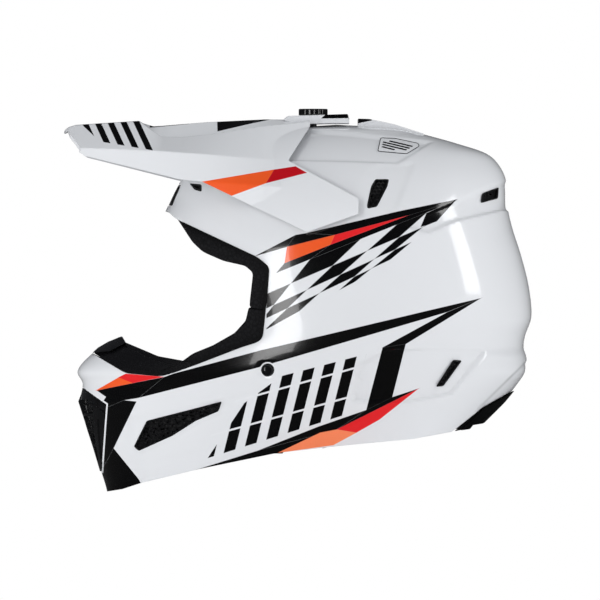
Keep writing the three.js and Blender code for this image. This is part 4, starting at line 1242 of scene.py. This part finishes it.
def knob():
    """Visor screw: notched head with a driver slot in a shallow dish, on a plain shank."""
    steps, top, seat, foot = 96, 148.5, 143.1, 119.2
    head_radius, dish_radius, shank_radius = 12, 8.6, 2.9
    outline = []
    for k in range(steps):
        turn = math.tau * k / steps
        radius = head_radius - max(0.0, math.cos(turn * 12)) ** 2 * 0.8
        outline.append((SCREW_X + radius * math.cos(turn), radius * math.sin(turn)))
    head = bevel(prism("visor_knob", outline, "z", seat, top), 0.8, 3, 50)
    slot = [(-31, -1.3), (-13, -1.3), (-13, 1.3), (-31, 1.3)]
    boolean(head, prism("slot", slot, "z", top - 1.7, top + 2, 1))
    boolean(head, prism("dish", circle((SCREW_X, 0), dish_radius), "z", top - 0.6, top + 2))
    boolean(head, prism("shank", circle((SCREW_X, 0), shank_radius), "z", foot, seat + 1), "UNION")
    return smooth(head, 40)


TAB = [(-47, 139), (-43, 142.4), (6.5, 144), (7.5, 138.3), (-8, 138.3), (-40, 136.6)]


def visor_tab():
    """Raised seat of the visor screw, with a slot so that the visor can tilt."""
    block = bevel(prism("visor_tab", TAB, "y", -TAB_HALF_WIDTH, TAB_HALF_WIDTH), 1.2, 3)
    front, length, steps, floor_radius = -39.7, 38.3, 16, 74.5
    floor = []
    for k in range(steps + 1):
        x = front + (length * k) / steps
        floor.append((x, PIVOT[1] + math.sqrt(floor_radius ** 2 - (x - PIVOT[0]) ** 2)))
    boolean(block, prism("pocket", floor + [(-1.4, 160), (front, 160)], "y", -12.8, 12.8))
    slot = [(-30.6, -3.4), (-10.6, -3.4), (-10.6, 3.4), (-30.6, 3.4)]
    boolean(block, prism("slot", slot, "z", 120, 160, 3))
    return smooth(block)


# ---------- chin strap ----------
STRAP_WIDTH, STRAP_WALL = 25.0, 1.8
STRAP_PATHS = {
    "left": [(95.1, -74.4), (93.2, -80), (80.4, -116), (75, -124.5), (66, -128), (38.5, -126.3)],
    "right": [(95.1, -74.4), (93.2, -80), (80.4, -116), (75, -124.5), (66, -128), (40, -126.4), (4, -126.4)],
}


def smooth_path(points, radius=9.0):
    """An open path with its corners rounded."""
    made = [tuple(points[0])]
    for before, corner, after in zip(points, points[1:], points[2:]):
        made += corner_curve(before, corner, after, radius, 6)
    return made + [tuple(points[-1])]


def band(name, path, side, width, wall, closed=False, crown=0.0):
    """A flat band along a path in front view, with rounded edges."""
    path = np.array(path, float)
    ahead = headings(path, closed)
    normal = np.stack([ahead[:, 1], -ahead[:, 0]], axis=1)
    half, edge = width / 2, wall / 2
    rise = [(-half, 0), (-half + edge * 0.4, 0.8), (-half + edge, 1), (-half * 0.5, 1 + crown * 0.75)]
    across = rise + [(0, 1 + crown)] + [(-a, h) for a, h in reversed(rise)]
    section = across + [(a, -h) for a, h in across[-2:0:-1]]
    points = []
    for (py, pz), (ny, nz) in zip(path, normal):
        for a, h in section:
            points.append((ANCHOR[0] + a, side * (py + ny * h * edge), pz + nz * h * edge))
    size = len(section)
    faces = grid_faces(len(path), size, wrap=True)
    if closed:
        last = (len(path) - 1) * size
        faces += [(last + i, last + (i + 1) % size, (i + 1) % size, i) for i in range(size)]
    else:
        faces += [tuple(range(size)), tuple(len(points) - size + i for i in range(size))[::-1]]
    return recalculate(make_object(name, points, faces))


def strap(side, key):
    """One half of the chin strap. The left one ends in the loop that holds the rings."""
    pieces = [band("strap", smooth_path(STRAP_PATHS[key]), side, STRAP_WIDTH, STRAP_WALL)]
    if key == "left":
        middle, z = -LOOP["middle"], LOOP["z"]
        wide, high = 6.6, 6.3
        loop = [(middle - wide, z - high), (middle + wide, z - high), (middle + wide, z + high),
                (middle - wide, z + high)]
        pieces.append(band("loop", rounded(loop, 4, 6), side, STRAP_WIDTH, STRAP_WALL, closed=True))
    pieces += stitches(side, (66, -128), (44, -126.6))
    return smooth(join("strap_webbing_" + key, pieces), 50)


def stitches(side, start, end):
    """Rows of thread across a strap's underside where it is sewn to itself."""
    threads = []
    start, end = np.array(start, float), np.array(end, float)
    along = (end - start) / np.linalg.norm(end - start)
    normal = np.array([along[1], -along[0]])
    lift = normal * (STRAP_WALL / 2)
    pitch, length, thread = 3.0, 1.9, 0.28
    for edge in (-9.5, 9.5):
        for k in range(7):
            a, b = start + along * (k * pitch), start + along * (k * pitch + length)
            arch = [a + lift * 0.6, (a + b) / 2 + lift * 1.25, b + lift * 0.6]
            path = [(ANCHOR[0] + edge, side * y, z) for y, z in arch]
            threads.append(tube("thread", path, thread, sides=6))
    return threads


# ---------- soft goods ----------
HEAD = {"x": 5.0, "length": 107.0, "width": 86.5, "height": 100.0}  # half axes of the hollow for the head
CHEEK_PAD = [
    (-130, -59), (-120.5, -52), (-104.5, -45.5), (-86, -35), (-77, -25), (-74.5, -14), (-58, -16), (-40, -40),
    (34, -46.5), (36, -112), (-40, -118), (-92, -117), (-112, -93),
]
STRAP_CHANNEL = [(-82, -52), (-32, -52), (-14, -140), (-98, -140)]
BROW_PAD = [
    (-FAR, 51), (-126, 51), (-117, 36), (-95, 27), (-79, 23), (-79, 40), (-100, 62), (-FAR, 84),
]
NECK_ROLL = [(62, -86.5), (128, -86.5), (101, -108), (64, -110.5)]
CROWN_LINER_CUT = [
    (-FAR, 67), (-140, 65.5), (-133, 58), (-120.5, 39), (-112, 31), (-96, 24), (-78, 20), (-71, 14),
    (-74, -12), (-56, -14), (-38, -38), (44, -44), (58, -84), (FAR, -84), (FAR, -FAR), (-FAR, -FAR),
]


def head_hollow(name, grow, up=24, around=96):
    """The hollow for the head: a half ellipsoid above a straight well."""
    length, width, height = (HEAD[k] + grow for k in ("length", "width", "height"))
    rings = [(-170.0, 1.0)]
    rings += [(height * math.sin(a), math.cos(a)) for a in np.linspace(0, math.pi / 2, up)[:-1]]
    points = []
    for z, share in rings:
        for k in range(around):
            turn = math.tau * k / around
            points.append((HEAD["x"] + length * share * math.cos(turn), width * share * math.sin(turn), z))
    return dome(name, points + [(HEAD["x"], 0, height)], around)


def inflate(obj, voxel=5.0, pressure=4.0, cap=7.0, frames=20):
    """Swells a closed form as stuffed fabric does, by cloth under pressure whose points move at most cap."""
    remesh = obj.modifiers.new("remesh", "REMESH")
    remesh.mode = "VOXEL"
    remesh.voxel_size = voxel / 1000
    apply_modifiers(obj)
    start = coordinates(obj)
    cloth = obj.modifiers.new("cloth", "CLOTH")
    cloth.settings.use_pressure = True
    cloth.settings.uniform_pressure_force = pressure
    cloth.settings.effector_weights.gravity = 0
    cloth.settings.quality = 5
    scene = bpy.context.scene
    for frame_number in range(1, frames + 1):
        scene.frame_set(frame_number)
    apply_modifiers(obj)
    scene.frame_set(1)
    moved = coordinates(obj) - start
    length = np.linalg.norm(moved, axis=1)[:, None]
    moved *= np.minimum(1, cap / 1000 / np.maximum(length, 1e-9))
    obj.data.vertices.foreach_set("co", (start + moved).astype(np.float32).ravel())
    obj.data.update()
    even = obj.modifiers.new("even", "SMOOTH")
    even.iterations = 4
    even.factor = 0.5
    fine = obj.modifiers.new("fine", "SUBSURF")
    fine.levels = 1
    apply_modifiers(obj)
    obj.data.shade_smooth()
    return obj


def coordinates(obj):
    """The object's points, one row each, in metres."""
    co = np.zeros(len(obj.data.vertices) * 3, np.float32)
    obj.data.vertices.foreach_get("co", co)
    return co.reshape(-1, 3).astype(float)


def piping(obj, points, radius=0.9):
    """A sewn cord along the nearest points of a piece's surface, and joined to it."""
    path = []
    for point in place(points):
        _, where, normal, _ = obj.closest_point_on_mesh(Vector(point))
        path.append(where - normal * 0.0001)
    local = [to_worn(p) for p in path]
    cord = tube("cord", local, radius, closed=True, sides=8)
    cord.data.shade_smooth()
    return join(obj.name, [obj, cord])


def dense_outline(points, step=5.0):
    """A closed outline with points added along its sides."""
    made = []
    for i, start in enumerate(points):
        end = points[(i + 1) % len(points)]
        pieces = max(1, int(math.dist(start, end) / step))
        made += [tuple(np.array(start) + (np.array(end, float) - start) * k / pieces) for k in range(pieces)]
    return made


def cheek_pad(side):
    """Soft cheek pad: crowned towards the face, corded where its face panel meets its sides."""
    shape = inset(CHEEK_PAD, 1.5)
    low, high = span(side, 57.5, 71.5)
    pad = prism("cheek_cushion", shape, "y", low, high, 8)
    inflate(pad, 4.5, 4, 6)
    loop = dense_outline(rounded(inset(CHEEK_PAD, 4.5), 9))
    return piping(pad, [(x, side * 58.5, z) for x, z in loop], 1.0)


LAP, LAP_DEPTH = 84.0, 2.4  # the crown foam laps over the cheek pads beyond this half width


def cheek_core(side):
    """Foam behind a cheek pad, with a channel for the strap and a notch for the crown foam's lap."""
    shape = prism("cheek_pad_foam", CHEEK_PAD, "y", *span(side, 73.2, FAR), 2)
    boolean(shape, form_object("outer", fine_rows(5, 4), 160, depth=SHELL_WALL + 1.1), "INTERSECT")
    boolean(shape, prism("channel", STRAP_CHANNEL, "y", *span(side, 75.5, FAR), 3))
    lap = [(-82, -5), (-82, -15.1), (-50, -17.3), (-50, -5)]
    boolean(shape, prism("lap", lap, "y", *span(side, LAP - 0.5, FAR)))
    return smooth(bevel(shape, 0.8, 2, 40))


def brow_cushion():
    """The pad over the forehead, between the crown foam and the head."""
    pad = prism("brow_cushion", inset(BROW_PAD, 1.0), "y", -FAR, FAR, 4)
    boolean(pad, head_hollow("reach", 21), "INTERSECT")
    boolean(pad, head_hollow("inside", 2.0))
    boolean(pad, prism("cut", CROWN_LINER_CUT, "y", -FAR, FAR, 3))
    return inflate(pad, 4.0, 3, 3)


def neck_cushion():
    """The roll round the back of the neck."""
    roll = prism("neck_roll_cushion", inset(NECK_ROLL, 1.5), "y", -FAR, FAR, 5)
    boolean(roll, form_object("outer", fine_rows(5, 4), 160, depth=SHELL_WALL + 2.5), "INTERSECT")
    boolean(roll, head_hollow("inside", -14))
    return inflate(roll, 4.5, 4, 5)


def comfort_liner():
    """Quilted head liner: padded panels that swell between sewn seams, with a bound lower edge."""
    around, up = 264, 90
    turn = np.linspace(0, 2 * math.pi, around, endpoint=False)
    edge_x, edge_z = [-102, -62, -40, 46, 60, 112], [36, 32, -28, -38, -60, -60]
    low = np.interp(HEAD["x"] + 98 * np.cos(turn), edge_x, edge_z)
    climb = np.linspace(0, 1, up)[:, None]
    low_angle = np.where(low > 0, np.arcsin(np.clip(low / 94, -1, 1)), low / 94)
    angle = low_angle + (math.pi / 2 * 0.995 - low_angle) * climb
    turn = np.broadcast_to(turn, angle.shape)
    eighth, arm, flat = math.pi / 4, 95, np.cos(np.maximum(angle, 0))
    panel = np.abs(np.mod(turn / eighth + 0.5, 1) - 0.5) * eighth * arm * flat
    ring = np.minimum(np.abs(angle - 0.62), np.abs(angle - 1.25)) * arm
    lower = climb * (angle - low_angle)[-1] * arm
    seam = np.minimum(np.minimum(panel, ring), np.maximum(lower - 2, 0) + 0.8)
    quilt = 2.6 + 4.6 * (1 - np.exp(-(seam / 7.0) ** 2))

    def sheet(depth):
        z = np.where(angle > 0, (HEAD["height"] - depth) * np.sin(angle), 94 * angle)
        x = HEAD["x"] + (HEAD["length"] - depth) * flat * np.cos(turn)
        return np.stack([x, (HEAD["width"] - depth) * flat * np.sin(turn), z], axis=-1)

    outer, inner = sheet(0.5), sheet(quilt)
    count, columns = outer.shape[:2]
    points = np.concatenate([outer.reshape(-1, 3), inner.reshape(-1, 3)])
    faces = grid_faces(count, columns, wrap=True)
    base = count * columns
    faces += [tuple(base + i for i in reversed(f)) for f in faces]
    for row in (0, count - 1):
        for i in range(columns):
            a, b = row * columns + i, row * columns + (i + 1) % columns
            faces.append((a, b, base + b, base + a))
    liner = recalculate(make_object("comfort_liner_quilted", points, faces))
    liner.data.shade_smooth()
    return liner


def crown_foam():
    """Impact liner: everything between the shell and the head, less the room for the pads and the nut."""
    foam_body = form_object("crown_foam", fine_rows(5, 5), 200, depth=SHELL_WALL + 0.6)
    boolean(foam_body, head_hollow("hollow", 0.4))
    boolean(foam_body, prism("cut", CROWN_LINER_CUT, "y", -LAP, LAP, 3))
    lower = [(x, z - LAP_DEPTH if abs(z + 13) < 3 else z) for x, z in CROWN_LINER_CUT]
    for side in SIDES.values():
        boolean(foam_body, prism("cut", lower, "y", *span(side, LAP, FAR), 3))
    pocket = prism("pocket", inset(BROW_PAD, -0.5), "y", -FAR, FAR, 2)
    boolean(pocket, head_hollow("reach", 22.5), "INTERSECT")
    boolean(foam_body, pocket)
    boolean(foam_body, prism("nut", circle((SCREW_X, 0), 10), "z", 115, 160))
    return smooth(foam_body, 30)


def sleeve(side):
    """Padded sleeve round the strap, sewn along both long edges."""
    path = [(64 - 18 * t, -127.88 + 1.11 * t) for t in np.linspace(0, 1, 9)]
    outer = band("strap_sleeve_padded", path, side, STRAP_WIDTH + 5.5, 6.4, crown=0.12)
    hole = band("hole", [(80, -128.86), (20, -125.17)], side, STRAP_WIDTH + 0.8, 3.2)
    boolean(outer, hole, "DIFFERENCE", "EXACT")
    return smooth(bevel(outer, 0.6, 3, 40), 50)


def pull_tab(side):
    """A webbing tab under a cheek pad."""
    outline = [(-21.7, -118.9), (-6.3, -118.9), (-6.3, -127), (-14, -129.2), (-21.7, -127)]
    low, high = span(side, 60.2, 62.2)
    return smooth(bevel(prism("pull_tab_webbing", outline, "y", low, high, 1.5), 0.5, 2, 40))


def plate(side):
    """The steel plate that the strap hangs from, turning round its rivet."""
    outline = [(-72, -66), (-72, -80), (-46, -80), (-46, -66), (-51, -54), (-67, -54)]
    low, high = span(side, 96.45, 98.1)
    made = prism("anchor_plate_steel", outline, "y", low, high, 3)
    boolean(made, prism("hole", circle(ANCHOR, 5.4), "y", *span(side, 90, 105)))
    return smooth(bevel(made, 0.4, 2, 40))


def snap():
    """The press stud that holds the strap's free end."""
    profile = [
        (0, -122.85), (3.2, -122.9), (3.6, -123.5), (5.2, -123.6), (5.9, -124.2), (6.4, -125.15),
        (0, -125.15),
    ]
    return smooth(lathe("strap_snap_button", profile, (ANCHOR[0], 13, 0), (0, 0, 1)))


# ---------- build ----------
white_paint, visor_white = shell_paint(), visor_paint()
black_gloss = gloss_black("gloss_black")
mesh_black = plastic("mesh_black", (0.007, 0.007, 0.008), 0.4)
rubber = plastic("rubber_black", (0.005, 0.005, 0.0055), 0.55, 0.4, 1400, 0.12)
guard_black = plastic("guard_black", (0.006, 0.006, 0.007), 0.28, 0.12)
knit = fabric("knit_black", (0.004, 0.004, 0.0043))
bead_foam = foam("bead_foam", (0.014, 0.014, 0.0155))
filter_foam = foam("filter_foam", (0.02, 0.02, 0.022), 1.4)
strap_black = webbing("webbing_black", (0.013, 0.013, 0.014))
strap_red = webbing("webbing_red", (0.5, 0.01, 0.012))
steel = brushed_steel("brushed_steel")

shell = finish_piece(outer_shell(), "helmet", white_paint, "shell_white", "outer_shell")
line_inside(shell, plastic("shell_inside", (0.02, 0.02, 0.022), 0.5), faces_shell_inside)
brim = finish_piece(visor(), "visor", visor_white, "visor_white", "visor")
line_inside(brim, plastic("visor_underside", (0.7, 0.71, 0.73), 0.32, 0.15), faces_visor_inside)
finish_piece(visor_tab(), "visor", visor_white, "visor_white")
finish_piece(knob(), "visor_screw", black_gloss, "gloss_black", "visor_screw")
finish_piece(gasket(), "helmet", rubber, "rubber_black", "eyeport_gasket")
finish_piece(nose_guard(), "helmet", guard_black, "rubber_black", "nose_guard")
finish_piece(rear_trim(), "helmet", rubber, "rubber_black", "rear_edge_trim")
finish_piece(mouth_frame(), "helmet", black_gloss, "gloss_black", "mouth_vent_frame")
finish_piece(mouth_grille(), "helmet", mesh_black, "mesh_black", "mouth_vent_grille")
finish_piece(forehead_mesh(), "helmet", mesh_black, "mesh_black", "forehead_vent_mesh")
finish_piece(crown_foam(), "helmet", bead_foam, "foam_black", "crown_impact_liner")
finish_piece(comfort_liner(), "helmet", knit, "fabric_black", "comfort_liner")
finish_piece(brow_cushion(), "helmet", knit, "fabric_black", "brow_pad")
finish_piece(neck_cushion(), "helmet", knit, "fabric_black", "neck_roll")
finish_piece(d_ring("ring_upper", 2.4), "d_ring_upper", steel, "steel", "d_ring_upper")
finish_piece(d_ring("ring_lower", -2.4), "d_ring_lower", steel, "steel", "d_ring_lower")
finish_piece(snap(), "right_strap", steel, "steel", "strap_snap")


def finish_side(piece, end, body, material, slot, node):
    """Finishes one of two mirrored pieces, named after its side."""
    piece.name = piece.name.split(".")[0] + "_" + end
    finish_piece(piece, body, material, slot, f"{node}_{end}")


for end, side in SIDES.items():
    pad_body, strap_body = "cheek_pad_" + end, end + "_strap"
    for node, outline in VENTS.items():
        panel = vent_panel(node.replace("_mesh", "_honeycomb"), outline, side)
        finish_side(panel, end, "helmet", mesh_black, "mesh_black", node)
    finish_side(louvre(side), end, "helmet", white_paint, "shell_white", "crown_louvre")
    finish_side(anchor_bolt(side), end, "helmet", black_gloss, "gloss_black", "strap_anchor_bolt")
    finish_side(cheek_pad(side), end, pad_body, knit, "fabric_black", "cheek_pad")
    finish_side(cheek_core(side), end, pad_body, bead_foam, "foam_black", "cheek_pad_core")
    finish_side(pull_tab(side), end, pad_body, strap_red, "webbing_red", "cheek_pad_pull_tab")
    finish_side(plate(side), end, strap_body, steel, "steel", "strap_anchor_plate")
    finish_side(sleeve(side), end, strap_body, knit, "fabric_black", "strap_sleeve")
    finish_piece(strap(side, end), strap_body, strap_black, "webbing_black", "chin_strap_" + end)

# CAD nodes that stay as they are, with a material of their own.
KEPT_NODES = {
    "chin_impact_liner": bead_foam,
    "dust_filter": filter_foam,
    "visor_peg_left": black_gloss,
    "visor_peg_right": black_gloss,
    "visor_nut": steel,
}
for name, material in KEPT_NODES.items():
    node = frame["nodes"][name]
    node.data.materials.clear()
    node.data.materials.append(material)


# ---------- stage ----------
def aim(obj, target, up=Vector((0, 0, 1))):
    """Turns a light or a camera towards a point."""
    forward = (Vector(target) - obj.location).normalized()
    right = forward.cross(up).normalized()
    turned = Matrix((right, right.cross(forward), -forward)).transposed()
    obj.rotation_mode = "QUATERNION"
    obj.rotation_quaternion = turned.to_quaternion()


def softbox(name, azimuth, elevation, distance, size, power, mirrored=True):
    """A rectangular light that faces the helmet. Azimuth 0 is the camera's side and 90 the rear."""
    data = bpy.data.lights.new(name, "AREA")
    data.shape = "RECTANGLE"
    data.size, data.size_y = size
    data.energy = power
    light = bpy.data.objects.new(name, data)
    light.visible_glossy = mirrored
    a, e = math.radians(azimuth), math.radians(elevation)
    centre = Vector(place([(-20, 0, 0)])[0])
    direction = Vector((math.sin(a) * math.cos(e), -math.cos(a) * math.cos(e), math.sin(e)))
    light.location = centre + direction * distance
    bpy.context.scene.collection.objects.link(light)
    aim(light, centre)
    return light


VIEW_CENTRE, VIEW_WIDTH = (-32.8, 0, -8.2), 0.492


def camera():
    """Looks straight at the wearer's left side, rolled so that the helmet is seen in its worn attitude."""
    data = bpy.data.cameras.new("camera")
    data.lens, data.sensor_width = 800, 36
    obj = bpy.data.objects.new("camera", data)
    centre = Vector(place([VIEW_CENTRE])[0])
    obj.location = centre + Vector((0, -VIEW_WIDTH * data.lens / data.sensor_width, 0))
    bpy.context.scene.collection.objects.link(obj)
    aim(obj, centre, Vector((SIN, 0, COS)))
    bpy.context.scene.camera = obj


def floor():
    """A pale disc, not seen from below or edge on, and dark in reflections as if the room round it were."""
    turns = [math.tau * k / 64 for k in range(64)]
    mesh = bpy.data.meshes.new("floor")
    mesh.from_pydata([(16 * math.cos(t), 16 * math.sin(t), -0.0002) for t in turns], [], [tuple(range(64))])
    disc = bpy.data.objects.new("floor", mesh)
    bpy.context.scene.collection.objects.link(disc)
    s = Surface("pale_floor")
    pale = s.mix(s.noise(3, 2), (0.86, 0.86, 0.86), (0.9, 0.9, 0.9))
    path, geometry = s.node("ShaderNodeLightPath").outputs, s.node("ShaderNodeNewGeometry").outputs
    shade = s.mix(path["Is Glossy Ray"], pale, (0.06, 0.06, 0.06))
    towards = s.node("ShaderNodeSeparateXYZ")
    s.link(geometry["Incoming"], towards.inputs[0])
    grazing = s.math("MULTIPLY", path["Is Camera Ray"], s.math("LESS_THAN", towards.outputs["Z"], 0.03))
    above = s.math("SUBTRACT", 1.0, geometry["Backfacing"])
    disc.data.materials.append(s.set(
        Base_Color=shade, Roughness=0.8, Specular_IOR_Level=0.0, Emission_Color=shade,
        Emission_Strength=s.math("MULTIPLY_ADD", path["Is Camera Ray"], 0.4, 0.35),
        Alpha=s.math("MULTIPLY", above, s.math("SUBTRACT", 1.0, grazing))))


# What the studio's walls look like to each kind of ray.
WALLS_LIT, WALLS_MIRRORED, WALLS_SEEN = (0.40, 0.411, 0.427, 1), (0.045, 0.047, 0.052, 1), (1, 1, 1, 1)


def walls():
    """White where the camera sees them, softer as a light, and dark in reflections."""
    world = bpy.data.worlds.new("studio")
    bpy.context.scene.world = world
    world.use_nodes = True
    nodes, links = world.node_tree.nodes, world.node_tree.links
    path = nodes.new("ShaderNodeLightPath")

    def choose(ray, otherwise, colour):
        made = nodes.new("ShaderNodeMix")
        made.data_type = "RGBA"
        links.new(path.outputs[ray], made.inputs[0])
        made.inputs[7].default_value = colour
        if isinstance(otherwise, tuple):
            made.inputs[6].default_value = otherwise
        else:
            links.new(otherwise, made.inputs[6])
        return made.outputs[2]

    unseen = choose("Is Glossy Ray", WALLS_LIT, WALLS_MIRRORED)
    links.new(choose("Is Camera Ray", unseen, WALLS_SEEN), nodes["Background"].inputs["Color"])


def stage():
    floor()
    walls()
    softbox("key", -30, 38, 1.7, (1.6, 1.4), 3.6, False)
    softbox("front_fill", -75, -2, 1.6, (1.0, 1.0), 8.5, False)
    softbox("rear_strip", 68, 0, 1.3, (0.34, 1.5), 9)
    softbox("front_strip", -27, 4, 1.6, (0.26, 1.1), 6)
    softbox("rear_fill", 160, 40, 1.6, (1.2, 1.2), 7, False)
    bpy.context.scene.view_settings.view_transform = "Standard"


stage()
camera()
